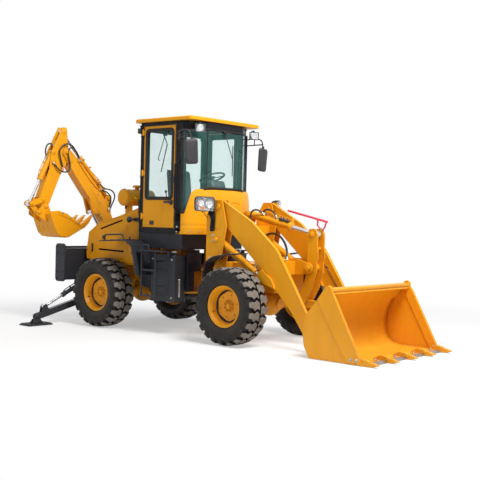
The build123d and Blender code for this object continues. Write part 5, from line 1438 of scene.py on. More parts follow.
# Rams: gland nut, ports, hard tube with straps, collar at the welded base
def dressRam(name, body, base, eye, look):
    way = (eye - base).normalized()
    side = Vector(look["side"])
    side = (side - way * side.dot(way)).normalized()
    beside = way.cross(side)
    radius, rod = look["radius"], look["rod"]
    end = base + way * look["barrel"]
    near, far = [base + way * along for along in look["ports"]]
    bm = bmesh.new()
    flange = radius + look["flange"]
    turned(bm, [(-0.044, radius - 0.001), (-0.043, flange), (-0.010, flange), (-0.005, flange - 0.003),
                (0.001, radius * 0.95), (0.0015, rod + 0.012), (0.004, rod + 0.009), (0.005, rod + 0.0015)],
                end, way, 40)
    for along in (look["ports"][0] - 0.045, look["barrel"] - 0.050):
        turned(bm, [(-0.005, radius - 0.001), (-0.002, radius + 0.0035), (0.002, radius + 0.0035),
                    (0.005, radius - 0.001)], base + way * along, way, 40)
    for foot in (near, far):
        turned(bm, [(radius - 0.004, 0.020), (radius + 0.010, 0.020), (radius + 0.013, 0.017)], foot, side,
               24)
    high = radius + look["stand"]
    tubeRadius, straps = 0.0075, (0.3, 0.72)
    slip = beside * 0.021
    tube = [far + side * (radius + 0.020), far + side * high, far - way * 0.050 + side * high + slip,
            near - way * 0.010 + side * high + slip]
    pipe(bm, bend(tube, 0.030, 5), tubeRadius, 12)
    for share in straps:
        place = near.lerp(far, share)
        turned(bm, [(-0.011, radius - 0.001), (-0.011, radius + 0.0028), (0.011, radius + 0.0028),
                    (0.011, radius - 0.001)], place, way, 40)
        saddle = place + side * (radius + look["stand"] / 2 + 0.004) + slip * 0.8
        turn = Matrix((way, side, beside)).transposed()
        softBlock(bm, saddle, (0.022, look["stand"] + 0.006, 0.020), 0.003, turn)
    makePiece(name + "_gland", bm, look.get("paint", yellowPaint), body)
    bm = bmesh.new()
    for foot in (near, far):
        turned(bm, [(radius + 0.011, 0.0135), (radius + 0.024, 0.0135), (radius + 0.026, 0.011)], foot,
               side, 6)
    if radius > 0.040:
        boltCircle(bm, end - way * 0.005, way, (radius + rod) / 2 + 0.005, 6, 0.009)
    for share in straps:
        hexBolt(bm, near.lerp(far, share) + side * (high + 0.011) + slip * 0.8, side, 0.012, False)
    hoseEnd(bm, tube[-1], way, tubeRadius)
    makePiece(name + "_fittings", bm, platedSteel, body)


# Headlamp clusters: shell, two chambers and a lens that wraps round the outer corner
clusterSet = {"middle": (-556, 806, 1893), "half": (0.060, 0.146, 0.102), "corner": 0.044, "turn": 19}
shell, lenses, bowls, ambers, reds, arms = (bmesh.new() for k in range(6))
for side in (-1, 1):
    at = frontAt(clusterSet["middle"][0], side * clusterSet["middle"][1], clusterSet["middle"][2])
    deep, wide, tall = clusterSet["half"]

    outward = Matrix.Rotation(math.radians(side * clusterSet["turn"]), 3, "Z")

    def clusterPoint(x, y, z, give=0.0):  # outer side (+y) slopes back like the lens does
        return at + outward @ Vector((x - 0.22 * give * max(0.0, y + 0.02), side * y, z))

    def clusterRing(x, grow, give):
        return loopRing(lambda y, z: clusterPoint(x, y, z, give), wide * grow, tall * grow,
                        clusterSet["corner"] * grow, 6)

    rings = []
    for x, grow in ((-deep, 0.62), (-deep + 0.004, 0.72), (-0.045, 0.84), (-0.012, 0.94), (0.016, 0.985),
                    (0.040, 1.0), (0.046, 0.992), (0.049, 0.965), (0.046, 0.925), (0.030, 0.905),
                    (-0.004, 0.880), (-0.006, 0.80)):
        rings.append(clusterRing(x, grow, 1.0 if x > -0.01 else 0.0))
    skin(shell, rings)
    rings = []
    for x, grow in ((0.026, 0.925), (0.043, 0.925), (0.051, 0.895), (0.056, 0.80), (0.058, 0.50)):
        rings.append(clusterRing(x, grow, 1.0))
    skin(lenses, rings)
    for y, z, size in ((-0.060, 0.000, 0.058), (0.060, 0.008, 0.046)):
        turned(bowls, [(-0.004, 0.006), (-0.001, size * 0.45), (0.010, size * 0.75), (0.026, size),
                       (0.028, size + 0.002), (0.024, size + 0.003), (-0.006, size * 0.5)],
                       clusterPoint(0.0, y, z, 1.0), outward @ Vector((1, 0, 0)), 32)
        turned(bowls, [(-0.002, 0.010), (0.012, 0.009), (0.018, 0.006), (0.020, 0.002)],
               clusterPoint(0.0, y, z, 1.0), outward @ Vector((1, 0, 0)), 16)
    softBlock(bowls, clusterPoint(-0.004, 0.0, -0.048, 1.0), (0.010, 0.170, 0.058), 0.004, outward)
    softBlock(bowls, clusterPoint(-0.002, 0.002, 0.0, 1.0), (0.006, 0.012, 0.150), 0.002, outward)
    softBlock(ambers, clusterPoint(0.016, 0.030, -0.056, 1.0), (0.016, 0.062, 0.030), 0.006, outward)
    for k in range(5):
        softBlock(ambers, clusterPoint(0.0245, 0.006 + k * 0.012, -0.056, 1.0), (0.003, 0.003, 0.026),
                  0.001, outward, 1)
    softBlock(reds, clusterPoint(0.006, 0.088, -0.010, 1.0), (0.020, 0.022, 0.060), 0.006, outward)
    outline = [(-634, 1806), (-560, 1806), (-520, 1790), (-500, 1700), (-506, 1560), (-516, 1517),
               (-585, 1514), (-592, 1560), (-578, 1679), (-612, 1749)]
    inner = side * 633
    cutPlate(arms, frontLine(inner, outline), (0, side * 0.009, 0), 0.0015)
    softBlock(arms, frontAt(-590, side * 716, 1796), (0.064, 0.170, 0.009), 0.003)
    softBlock(arms, frontAt(-590, side * 650, 1770), (0.060, 0.009, 0.060), 0.003,
              Matrix.Rotation(side * 0.6, 3, "X"))
    softBlock(arms, frontAt(-552, side * 648, 1620), (0.028, 0.022, 0.120), 0.005)
clusterShell = makePiece("headlamp_shells", shell, housingPlastic, "front_unit")
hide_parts("headlamps")
makePiece("headlamp_lenses", lenses, lensGlass, "front_unit")
makePiece("headlamp_bowls", bowls, reflector, "front_unit")
makePiece("headlamp_ambers", ambers, amberLens, "front_unit")
makePiece("headlamp_reds", reds, redLens, "front_unit")
makePiece("headlamp_brackets", arms, blackPaint, "front_unit")
bm = bmesh.new()
for side in (-1, 1):
    for x, z in ((-552, 1540), (-546, 1600), (-600, 1780), (-540, 1775)):
        hexBolt(bm, frontAt(x, side * 642, z), (0, side, 0), 0.016)
    for y in (752, 792):
        hexBolt(bm, frontAt(-590, side * y, 1790), (0, 0, -1), 0.014, False)
    cable = [frontAt(-640, side * 800, 1850), frontAt(-652, side * 770, 1800),
             frontAt(-640, side * 700, 1760), frontAt(-628, side * 652, 1700)]
    pipe(bm, bend(cable, 0.05, 6), 0.005, 8)
makePiece("headlamp_bolts", bm, blackPaint, "front_unit")

# Towers and centre frame: pin caps, bolts, weld seams
pinRadius = 0.032
bm, welds, bolts = (bmesh.new() for k in range(3))
for side in (-1, 1):
    out = Vector((0, side, 0))
    pinCap(bm, frontAt(-462, side * 632, 1860), out, pinRadius, 0.010)
    pinCap(bm, frontAt(-482, side * 630, 1400), out, pinRadius * 0.9, 0.008)
    softBlock(bm, frontAt(-452, side * 622, 1690), (0.110, 0.004, 0.260), 0.0015,
              Matrix.Rotation(0.15, 3, "Y"), 1)
    for x, z in ((-544, 1458), (-551, 1386), (-430, 1140), (-520, 1140), (-600, 1140)):
        hexBolt(bolts, frontAt(x, side * 620, z), out, 0.026)
    edge = [(-672, 1740), (-542, 1950), (-392, 1950), (-302, 1595), (-402, 1090)]
    for (xa, za), (xb, zb) in zip(edge, edge[1:]):
        bead(welds, frontAt(xa, side * 616, za), frontAt(xb, side * 616, zb), 0.004)
    bead(welds, frontAt(-600, side * 466, 1600), frontAt(-420, side * 466, 1600), 0.006)
    bead(welds, frontAt(-418, side * 466, 1480), frontAt(-418, side * 466, 1600), 0.006)
    for x in (-560, -380, -150, 60, 250):
        hexBolt(bolts, frontAt(x, side * 332, 1000), out, 0.022)
        hexBolt(bolts, frontAt(x, side * 332, 800), out, 0.022)
    pinCap(bm, frontAt(-372, side * 88, 1765), out, pinRadius, 0.008)
makePiece("tower_pins", bm, yellowPaint, "front_unit")
makePiece("tower_welds", welds, yellowPaint, "front_unit")
makePiece("tower_bolts", bolts, platedSteel, "front_unit")

# Front mudguards: rolled lip, stiffening flute, stays
guardLine = [(-562, 728), (-546, 950), (-510, 1092), (-372, 1174), (-114, 1214), (100, 1234)]
bm = bmesh.new()
for side in (-1, 1):
    for y in (624, 806):
        line = frontLine(side * y, guardLine)
        pipe(bm, bend(line, 0.08, 5), 0.006, 8)
    for end in (0, -1):
        x, z = guardLine[end]
        pipe(bm, [frontAt(x, side * 622, z), frontAt(x, side * 808, z)], 0.006, 8)
    line = [frontAt(x, side * 715, z + 1) for x, z in guardLine]
    pipe(bm, bend(line, 0.08, 5), 0.005, 6)
    for a, b in (((-560, 900), (-640, 900)), ((-300, 1180), (-420, 1110))):
        pipe(bm, [frontAt(a[0], side * 640, a[1]), frontAt(b[0], side * 618, b[1])], 0.011, 10)
makePiece("mudguard_lips", bm, greyPaint, "front_unit")
bm = bmesh.new()
for side in (-1, 1):
    for x, z, lean in ((-440, 1136, (-0.5, 0, 0.86)), (-240, 1196, (-0.2, 0, 0.98)),
                       (-60, 1219, (-0.1, 0, 1))):
        for y in (650, 780):
            hexBolt(bm, frontAt(x, side * y, z), lean, 0.015)
makePiece("mudguard_bolts", bm, platedSteel, "front_unit")

# Loader arms: pin caps, edge welds, gussets to the cross beam
armEdge = [(-412, 1940), (108, 1660), (548, 1300), (818, 890), (1068, 490), (1240, 300)]
bm = bmesh.new()
welds = bmesh.new()
for side in (-1, 1):
    out = Vector((0, side, 0))
    pinCap(bm, frontAt(1238, side * 632, 250), out, pinRadius, 0.010)
    pinCap(bm, frontAt(750, side * 157, 1058), out, pinRadius, 0.010)
    for y in (521.5, 568.5):
        seam(welds, [frontAt(x, side * y, z - 2) for x, z in armEdge], 0.0045)
    gusset = bmesh.new()
    top = [frontAt(300, side * 519, 1392), frontAt(566, side * 519, 1168), frontAt(520, side * 290, 1150),
           frontAt(486, side * 290, 1158)]
    low = [point + Vector((-0.010, 0, -0.014)) for point in top]
    skin(gusset, [low, top])
    bmesh.ops.bevel(gusset, geom=gusset.edges[:], offset=0.003, segments=2, affect="EDGES")
    takeIn(bm, gusset)
    for z in (962, 1138):
        bead(welds, frontAt(526, side * 519, z), frontAt(370, side * 519, z), 0.006)
    for y in (93, 117):
        bead(welds, frontAt(400, side * y, 1144), frontAt(520, side * y, 1144), 0.006)
    softBlock(bm, frontAt(455, side * 350, 1143), (0.120, 0.090, 0.010), 0.003)
    disc = [(0, 0.078), (0.005, 0.078), (0.008, 0.074)]
    turned(bm, disc, frontAt(1238, side * 570, 250), out, 40)
    turned(bm, disc, frontAt(750, side * 117, 1058), out, 40)
makePiece("arm_pins_and_gussets", bm, yellowPaint, "loader_arms")
makePiece("arm_seams", welds, yellowPaint, "loader_arms")
bm = bmesh.new()
for side in (-1, 1):  # grease lines and clips along the inner faces
    line = frontLine(side * 514, ((420, 1190), (560, 1100), (760, 830), (980, 480), (1180, 300)))
    pipe(bm, bend(line, 0.08, 5), 0.005, 8)
    for x, z in ((600, 1048), (800, 766), (1010, 452)):
        softBlock(bm, frontAt(x, side * 515, z), (0.030, 0.014, 0.016), 0.003)
makePiece("arm_grease_lines", bm, hoseRubber, "loader_arms")

# Rocker and link: caps at the pins, seams, and the red level bar
bm = bmesh.new()
for side in (-1, 1):
    out = Vector((0, side, 0))
    pinCap(bm, frontAt(781, side * 104, 1514), out, pinRadius, 0.006)
    pinCap(bm, frontAt(588, side * 104, 574), out, pinRadius, 0.006)
    rockerEdge = [(700, 1500), (730, 1585), (820, 1590), (862, 1520), (858, 1000), (790, 780), (650, 520)]
    seam(bm, frontLine(side * 88, rockerEdge), 0.0035)
    softBlock(bm, frontAt(870, side * 77, 1250), (0.012, 0.020, 0.160), 0.004)
makePiece("rocker_pins", bm, yellowPaint, "tilt_rocker")
levelSet = {"y": 68, "from": (226, 1834), "to": (918, 1685), "radius": 0.0155}
bm = bmesh.new()
start, end = frontLine(levelSet["y"], (levelSet["from"], levelSet["to"]))
way = (end - start).normalized()
length = (end - start).length
turned(bm, [(0, 0.005), (0.003, 0.010), (0.010, levelSet["radius"]), (length - 0.010, levelSet["radius"]),
            (length - 0.003, 0.010), (length, 0.005)], start, way, 18)
for stem in (((752, 1718), (745, 1640), (790, 1592)), ((893, 1690), (868, 1612), (838, 1580))):
    for (xa, za), (xb, zb) in zip(stem, stem[1:]):
        run = frontAt(xb, 0, zb) - frontAt(xa, 0, za)
        middle = frontAt((xa + xb) / 2, levelSet["y"], (za + zb) / 2)
        softBlock(bm, middle, (0.011, 0.026, run.length + 0.010), 0.002,
                  Matrix.Rotation(math.atan2(run.x, run.z), 3, "Y"))
makePiece("level_bar", bm, redPaint, "tilt_rocker")
bm = bmesh.new()
for x, z in ((792, 1594), (836, 1582)):
    softBlock(bm, frontAt(x, levelSet["y"] + 8, z), (0.026, 0.030, 0.020), 0.003)
    hexBolt(bm, frontAt(x, levelSet["y"] + 10, z + 9), (0, 0, 1), 0.013, False)
makePiece("level_bar_clamps", bm, platedSteel, "tilt_rocker")

# Tilt ram: dressings, valve block on its back, thin level rod
tiltBase, tiltEye = frontAt(-372, 0, 1765), frontAt(781, 0, 1514)
dressRam("tilt_ram", "tilt_barrel", tiltBase, tiltEye, {
    "barrel": 0.760, "radius": 0.052, "rod": 0.030, "side": (0.2, 0.25, 1), "ports": (0.250, 0.675),
    "stand": 0.022,
    "flange": 0.013})
tiltWay = (tiltEye - tiltBase).normalized()
tiltUp = tiltWay.cross(Vector((0, 1, 0)))
leanBlock = Matrix((tiltWay, Vector((0, 1, 0)), tiltUp)).transposed()
bm = bmesh.new()
for along, size in ((0.575, (0.086, 0.050, 0.032)), (0.668, (0.070, 0.046, 0.028))):
    softBlock(bm, tiltBase + tiltWay * along + tiltUp * 0.066 + Vector((0, -0.022, 0)), size, 0.004,
              leanBlock)
for along in (0.555, 0.595, 0.668):
    turned(bm, [(0, 0.011), (0.012, 0.011), (0.014, 0.008), (0.020, 0.008)],
           tiltBase + tiltWay * along + tiltUp * 0.078 + Vector((0, -0.022, 0)), tiltUp, 12)
makePiece("tilt_valve", bm, castIron, "tilt_barrel")
bm = bmesh.new()
softBlock(bm, tiltBase + tiltWay * 0.742 + tiltUp * 0.078, (0.012, 0.060, 0.085), 0.003, leanBlock)
pipe(bm, [tiltBase + tiltWay * 0.240 + tiltUp * 0.098 + Vector((0, 0.034, 0)),
          tiltBase + tiltWay * 0.745 + tiltUp * 0.098 + Vector((0, 0.034, 0))], 0.006, 10)
softBlock(bm, tiltBase + tiltWay * 0.246 + tiltUp * 0.076 + Vector((0, 0.034, 0)), (0.014, 0.030, 0.060),
          0.003, leanBlock)
makePiece("tilt_level_rod", bm, yellowPaint, "tilt_barrel")

# Lift rams: tube under the barrel
for side, name in ((-1, "right"), (1, "left")):
    dressRam("lift_ram_" + name, "lift_barrels", frontAt(-482, side * 545, 1400),
             frontAt(318, side * 545, 905), {
        "barrel": 0.796, "radius": 0.046, "rod": 0.027, "side": (-0.526, 0, -0.850),
        "ports": (0.180, 0.730), "stand": 0.028,
        "flange": 0.006})
    bm = bmesh.new()
    place = frontAt(-482, side * 545, 1400) + Vector((0.850, 0, -0.526)) * 0.748
    up = Vector((0.526, 0, 0.850))
    turned(bm, [(0.042, 0.018), (0.058, 0.018), (0.060, 0.013)], place, up, 20)
    turned(bm, [(0.058, 0.013), (0.074, 0.013), (0.076, 0.009)], place, up, 6)
    elbow = [place + up * 0.070, place + up * 0.092, place + up * 0.096 - Vector((0.850, 0, -0.526))
             * 0.060]
    pipe(bm, bend(elbow, 0.02, 5), 0.008, 12)
    makePiece("lift_ram_elbow_" + name, bm, platedSteel, "lift_barrels")

# Hoses of the loader
layHose("tilt_hose_long", {"diameter": 0.025, "length": 0.52, "bodies": ("tilt_barrel", "front_unit"),
                           "points": [
    frontAt(x, y, z) for x, y, z in ((-130, -32, 1777), (-170, -52, 1822), (-228, -92, 1839),
                                     (-278, -112, 1812),
                                     (-292, -122, 1744), (-272, -126, 1680), (-286, -122, 1622),
                                     (-340, -114, 1572),
                                     (-400, -108, 1548))]})
layHose("tilt_hose_short", {"diameter": 0.023, "length": 0.345, "bodies": ("tilt_barrel", "tilt_barrel"),
                            "points": [
    frontAt(x, y, z) for x, y, z in ((104, -24, 1736), (78, -24, 1786), (10, -22, 1834), (-80, -14, 1846),
                                     (-150, -2, 1822), (-172, 4, 1778))]})
layHose("arm_hose", {"diameter": 0.032, "length": 1.17, "bodies": ("front_unit", "loader_arms"), "points": [
    frontAt(x, y, z) for x, y, z in ((-500, 440, 1433), (-440, 436, 1477), (-333, 390, 1498),
                                     (-184, 310, 1503),
                                     (-2, 200, 1470), (167, 80, 1402), (294, -20, 1318), (352, -80, 1247),
                                     (384, -116, 1166))]})
bm = bmesh.new()
softBlock(bm, frontAt(-408, -106, 1545), (0.026, 0.044, 0.044), 0.004)
softBlock(bm, frontAt(-520, 452, 1424), (0.050, 0.036, 0.044), 0.004)
makePiece("hose_bulkheads", bm, yellowPaint, "front_unit")
bm = bmesh.new()
softBlock(bm, frontAt(392, -122, 1148), (0.052, 0.052, 0.024), 0.004)
makePiece("arm_bulkhead", bm, yellowPaint, "loader_arms")

# Loader bucket: rolled liner, side strips, top bar, bolted cutting edge, tooth adaptors
bucketSet = {"inside": 916, "teeth": (-901, -450.5, 0, 450.5, 901)}
liner = [(2110, 27), (1900, 27), (1640, 29), (1540, 40), (1466, 66), (1412, 112), (1380, 176), (1366, 260),
         (1366, 360), (1378, 450), (1404, 540), (1446, 622), (1500, 690), (1590, 796), (1650, 868)]
bm = bmesh.new()
line = bend(frontLine(0, liner), 0.06, 3)
columns = []
for y in [bucketSet["inside"] * (k / 8 - 1) for k in range(17)]:
    columns.append([bm.verts.new(Vector((p.x, y / 1000, p.z))) for p in line])
for a, b in zip(columns, columns[1:]):
    for k in range(len(line) - 1):
        bm.faces.new((a[k], a[k + 1], b[k + 1], b[k]))
sheet = makePiece("bucket_liner", bm, yellowPaint, "loader_bucket", sharp=60)
thick = sheet.modifiers.new("sheet", "SOLIDIFY")
thick.thickness = 0.005
thick.offset = 0
bm = bmesh.new()
arc = [(1660 + 52 * math.cos(math.radians(a)), 866 + 52 * math.sin(math.radians(a)))
       for a in range(150, -31, -20)]
outer = [(1500, 735)] + arc + [(1752, 790), (2124, 112), (2172, 8), (1962, 8)]
inner = [(1604, 800)] + arc + [(1752, 790), (2124, 112), (2166, 30), (2044, 30)]
for side in (-1, 1):
    cutPlate(bm, frontLine(side * 934, outer), (0, side * 0.013, 0), 0.003)
    cutPlate(bm, frontLine(side * 918, inner), (0, side * -0.012, 0), 0.003)
    cutPlate(bm, frontLine(side * 917, arc), (0, side * 0.018, 0), 0.001)
softBlock(bm, frontAt(1664, 0, 864), (0.088, 1.832, 0.040), 0.010, Matrix.Rotation(0.10, 3, "Y"), 3)
for y in bucketSet["teeth"]:
    half = 42 if abs(y) < 900 else 33
    outline = [(2030, 27), (2052, 46), (2120, 84), (2150, 90), (2215, 80), (2250, 70), (2250, 27)]
    cutPlate(bm, frontLine(y - half, outline), (0, 2 * half / 1000, 0), 0.004)
for side in (-1, 1):  # keel strips under the hinge ears, seams down the back
    for y in (480, 610):
        bead(bm, frontAt(1322, side * y, 530), frontAt(1290, side * y, 300), 0.006)
    bead(bm, frontAt(1394, side * 918, 30), frontAt(2040, side * 918, 30), 0.005)
makePiece("bucket_strips", bm, yellowPaint, "loader_bucket")
bm = bmesh.new()
for ya, yb in zip(bucketSet["teeth"], bucketSet["teeth"][1:]):
    a, b = ya + 48, yb - 48
    outline = [(2168, 25), (2172, 33), (2200, 33), (2246, 12), (2242, 6), (2190, 8)]
    cutPlate(bm, frontLine(a, outline), (0, (b - a) / 1000, 0), 0.003)
makePiece("bucket_edge", bm, bareSteel, "loader_bucket")
bm = bmesh.new()
for ya, yb in zip(bucketSet["teeth"], bucketSet["teeth"][1:]):
    for share in (0.28, 0.72):
        hexBolt(bm, frontAt(2128, ya + (yb - ya) * share, 34), (0, 0, 1), 0.026)
for side in (-1, 1):
    hexBolt(bm, frontAt(2096, side * 947, 62), (0, side, 0), 0.030)
    hexBolt(bm, frontAt(2016, side * 947, 62), (0, side, 0), 0.030)
    hexBolt(bm, frontAt(2098, side * 906, 70), (0, -side, 0), 0.026)
makePiece("bucket_bolts", bm, platedSteel, "loader_bucket")
bm = bmesh.new()
for side in (-1, 1):
    pinCap(bm, frontAt(1208, side * 90, 540), (0, side, 0), pinRadius * 0.95, 0.006)
makePiece("bucket_link_pin", bm, yellowPaint, "loader_bucket")

print("front unit dressed")


# Backhoe, in its own upright plane: (along y, up z), x from that plane
hoeX = -1220


def hoeAt(x, y, z):
    return rearAt(hoeX + x, y, z)


def hoeLine(x, points):
    return [hoeAt(x, y, z) for y, z in points]


def edgeBars(bm, outline, half, radius=0.004):  # bright rolled corners of a box member
    for x in (-half, half):
        seam(bm, hoeLine(x, outline), radius)


# Boom: corner seams, pin bosses, doubler plates, hard tubes up its back
boomBack = [(268, 1757), (112, 1992), (-58, 2207), (-418, 2572), (-648, 2773)]
boomBelly = [(445, 1112), (62, 1700), (-88, 1860), (-328, 2130), (-638, 2510), (-762, 2690)]
bm = bmesh.new()
edgeBars(bm, boomBack, 83)
edgeBars(bm, boomBelly, 83)
for x, way in ((-85, -1), (85, 1)):
    out = Vector((way, 0, 0))
    for y, z, radius in ((500, 1150, 0.071), (-690, 2712, 0.056), (230, 2010, 0.046), (-85, 1760, 0.050)):
        turned(bm, [(0, radius), (0.005, radius), (0.008, radius - 0.004)], hoeAt(x, y, z), out, 36)
    pinCap(bm, hoeAt(x + way * 20, -690, 2712), out, 0.026, 0.008)
    pinCap(bm, hoeAt(x + way * -7, 230, 2010), out, 0.026, 0.014)
    doubler = [(90, 1900), (20, 2010), (-150, 2200), (-190, 2150), (-60, 1985), (20, 1870)]
    cutPlate(bm, hoeLine(x, doubler), (way * 0.005, 0, 0), 0.002)
    tipPlate = [(-560, 2560), (-640, 2540), (-735, 2670), (-715, 2745), (-655, 2755), (-600, 2700)]
    cutPlate(bm, hoeLine(x, tipPlate), (way * 0.005, 0, 0), 0.002)
    bead(bm, hoeAt(x, 470, 1230), hoeAt(x, 250, 1560), 0.004)
for x in (-40, 40):  # tubes on the boom's back, under the crowd ram
    line = hoeLine(x, ((126, 2002), (-50, 2222), (-380, 2560), (-440, 2606)))
    pipe(bm, bend(line, 0.06, 5), 0.008, 10)
for y, z in ((60, 2085), (-160, 2327), (-330, 2502)):
    softBlock(bm, hoeAt(0, y, z), (0.110, 0.030, 0.020), 0.004, Matrix.Rotation(-math.radians(44), 3, "X"))
makePiece("boom_seams_and_bosses", bm, yellowPaint, "boom")
bm = bmesh.new()
for y, z in ((60, 2085), (-160, 2327), (-330, 2502)):
    for x in (-46, 46):
        hexBolt(bm, hoeAt(x, y + 6, z + 7), (0, 0.7, 0.7), 0.013, False)
for x in (-86, 86):
    for y, z in ((-20, 2050), (20, 1930), (-140, 2175)):
        hexBolt(bm, hoeAt(x + math.copysign(4, x), y, z), (x, 0, 0), 0.016)
makePiece("boom_bolts", bm, platedSteel, "boom")

# Stick: corner seams, pin bosses, ribs behind the head
stickFront = [(-672, 2900), (-617, 2640), (-801, 2330), (-1010, 1862)]
stickBack = [(-1186, 1962), (-1011, 2420), (-991, 2640), (-961, 2730), (-798, 3050)]
bm = bmesh.new()
edgeBars(bm, stickFront, 59)
edgeBars(bm, stickBack, 59)
for way in (-1, 1):
    out = Vector((way, 0, 0))
    for y, z, radius in ((-735, 3040, 0.052), (-935, 2690, 0.044), (-690, 2712, 0.040)):
        turned(bm, [(0, radius), (0.004, radius), (0.0055, radius - 0.003)], hoeAt(way * 60.5, y, z), out,
               32)
    pinCap(bm, hoeAt(way * 61, -735, 3040), out, 0.026, 0.010)
    pinCap(bm, hoeAt(way * 61, -935, 2690), out, 0.022, 0.010)
    turned(bm, [(-0.002, 0.031), (0.003, 0.031), (0.0045, 0.027)], hoeAt(way * 85, -1134, 1935), out, 28)
    rib = [(-700, 2560), (-760, 2460), (-860, 2440), (-900, 2560), (-820, 2620)]
    cutPlate(bm, hoeLine(way * 60.5, rib), (way * 0.004, 0, 0), 0.002)
    bead(bm, hoeAt(way * 60, -975, 2480), hoeAt(way * 60, -720, 2500), 0.004)
makePiece("stick_seams_and_bosses", bm, yellowPaint, "stick")

# Swing post: pin caps and keeper plates
bm = bmesh.new()
for way in (-1, 1):
    out = Vector((way, 0, 0))
    pinCap(bm, hoeAt(way * 126, 500, 1150), out, 0.030, 0.008)
    pinCap(bm, hoeAt(way * 126, 560, 790), out, 0.026, 0.008)
    postEdge = [(566, 1174), (520, 1214), (456, 1204), (431, 1120), (499, 861), (510, 746)]
    seam(bm, hoeLine(way * 112, postEdge), 0.004)
makePiece("post_pins", bm, yellowPaint, "swing_post")
bm = bmesh.new()
for z in (725, 1060):
    place = Vector((rearAt(hoeX, 0, 0).x, rearAt(0, 710, 0).y, z / 1000))
    turned(bm, [(0, 0.060), (0.006, 0.060), (0.008, 0.056)], place, (0, 0, 1), 32)
    boltCircle(bm, place + Vector((0, 0, 0.006)), (0, 0, 1), 0.080, 6, 0.014)
makePiece("post_washers", bm, platedSteel, "swing_carriage")

# Lever and curl pins
bm = bmesh.new()
for way in (-1, 1):
    out = Vector((way, 0, 0))
    pinCap(bm, hoeAt(way * 85, -1347, 1858), out, 0.020, 0.006)
    for ends in (((-1145, 1976), (-1360, 1897)), ((-1123, 1894), (-1334, 1819))):
        seam(bm, hoeLine(way * 80, ends), 0.0035)
makePiece("lever_pins", bm, yellowPaint, "tipping_levers")
bm = bmesh.new()
for way in (-1, 1):
    bead(bm, hoeAt(way * 60, -1310, 1835), hoeAt(way * 60, -1255, 1745), 0.0035)
makePiece("curl_seams", bm, yellowPaint, "curl_link")

# Hoe bucket: side cutters, wear strips, tooth adaptors, pins
bm = bmesh.new()
for way in (-1, 1):
    out = Vector((way, 0, 0))
    side = 244 if way > 0 else -235  # the outer face is the widest place, so that side's plates lie flush
    cutter = [(-958, 1752), (-790, 1714), (-520, 1556), (-448, 1512), (-470, 1492), (-760, 1640),
              (-940, 1690)]
    cutPlate(bm, hoeLine(side, cutter), (way * 0.010, 0, 0), 0.002)
    heel = [(-745, 1334), (-900, 1342), (-983, 1402), (-1030, 1510), (-990, 1500), (-950, 1425),
            (-890, 1378), (-755, 1368)]
    cutPlate(bm, hoeLine(side, heel), (way * 0.008, 0, 0), 0.002)
    pinCap(bm, hoeAt(way * 121, -1226, 1720), out, 0.020, 0.006)
    pinCap(bm, hoeAt(way * 117, -1104, 1817), out, 0.0253, 0.006)
for x in (-190, 0, 190):
    outline = [(-560, 1470), (-500, 1496), (-440, 1512), (-380, 1560), (-356, 1612), (-420, 1580),
               (-520, 1530)]
    cutPlate(bm, hoeLine(x - 38, outline), (0.076, 0, 0), 0.003)
for x in (-170, -60, 60, 170):
    strip = [(-745, 1330), (-900, 1338), (-985, 1400), (-1035, 1520)]
    pipe(bm, bend([hoeAt(x, y + 1, z - 1) for y, z in strip], 0.05, 4), 0.007, 6)
makePiece("hoe_bucket_plates", bm, yellowPaint, "hoe_bucket")
bm = bmesh.new()
for way in (-1, 1):
    for y, z in ((-880, 1722), (-720, 1650), (-560, 1565)):
        hexBolt(bm, hoeAt(254 if way > 0 else -230, y, z), (1, 0, 0), 0.020)
for x in (-190, 0, 190):
    for way in (-1, 1):
        turned(bm, [(0, 0.009), (0.004, 0.009), (0.006, 0.006)], hoeAt(x + way * 38, -440, 1530),
               (way, 0, 0), 14)
makePiece("hoe_bucket_bolts", bm, platedSteel, "hoe_bucket")

# Rams of the backhoe
dressRam("boom_ram", "boom_ram_barrel", hoeAt(0, 560, 790), hoeAt(0, -85, 1760), {
    "barrel": 0.620, "radius": 0.056, "rod": 0.030, "side": (1, 0, 0), "ports": (0.130, 0.540),
    "stand": 0.020,
    "flange": 0.008})
dressRam("crowd_ram", "crowd_ram_barrel", hoeAt(0, 230, 2010), hoeAt(0, -735, 3040), {
    "barrel": 0.880, "radius": 0.042, "rod": 0.026, "side": (1, 0.3, 0.3), "ports": (0.170, 0.810),
    "stand": 0.020,
    "flange": 0.007})
dressRam("bucket_ram", "bucket_ram_barrel", hoeAt(0, -935, 2690), hoeAt(0, -1347, 1858), {
    "barrel": 0.500, "radius": 0.042, "rod": 0.024, "side": (0.15, -1, 0.5), "ports": (0.110, 0.440),
    "stand": 0.018,
    "flange": 0.006})
for side, name in ((-1, "right"), (1, "left")):
    dressRam("stabilizer_ram_" + name, "stabilizer_barrel_" + name, rearAt(-700, side * 415, 745),
             rearAt(-700, side * 1400, 275), {
                 "barrel": 0.720, "radius": 0.033, "rod": 0.020, "side": (0, side * 0.43, 0.9),
                 "ports": (0.160, 0.660),
                 "stand": 0.016, "flange": 0.005, "paint": greyPaint})

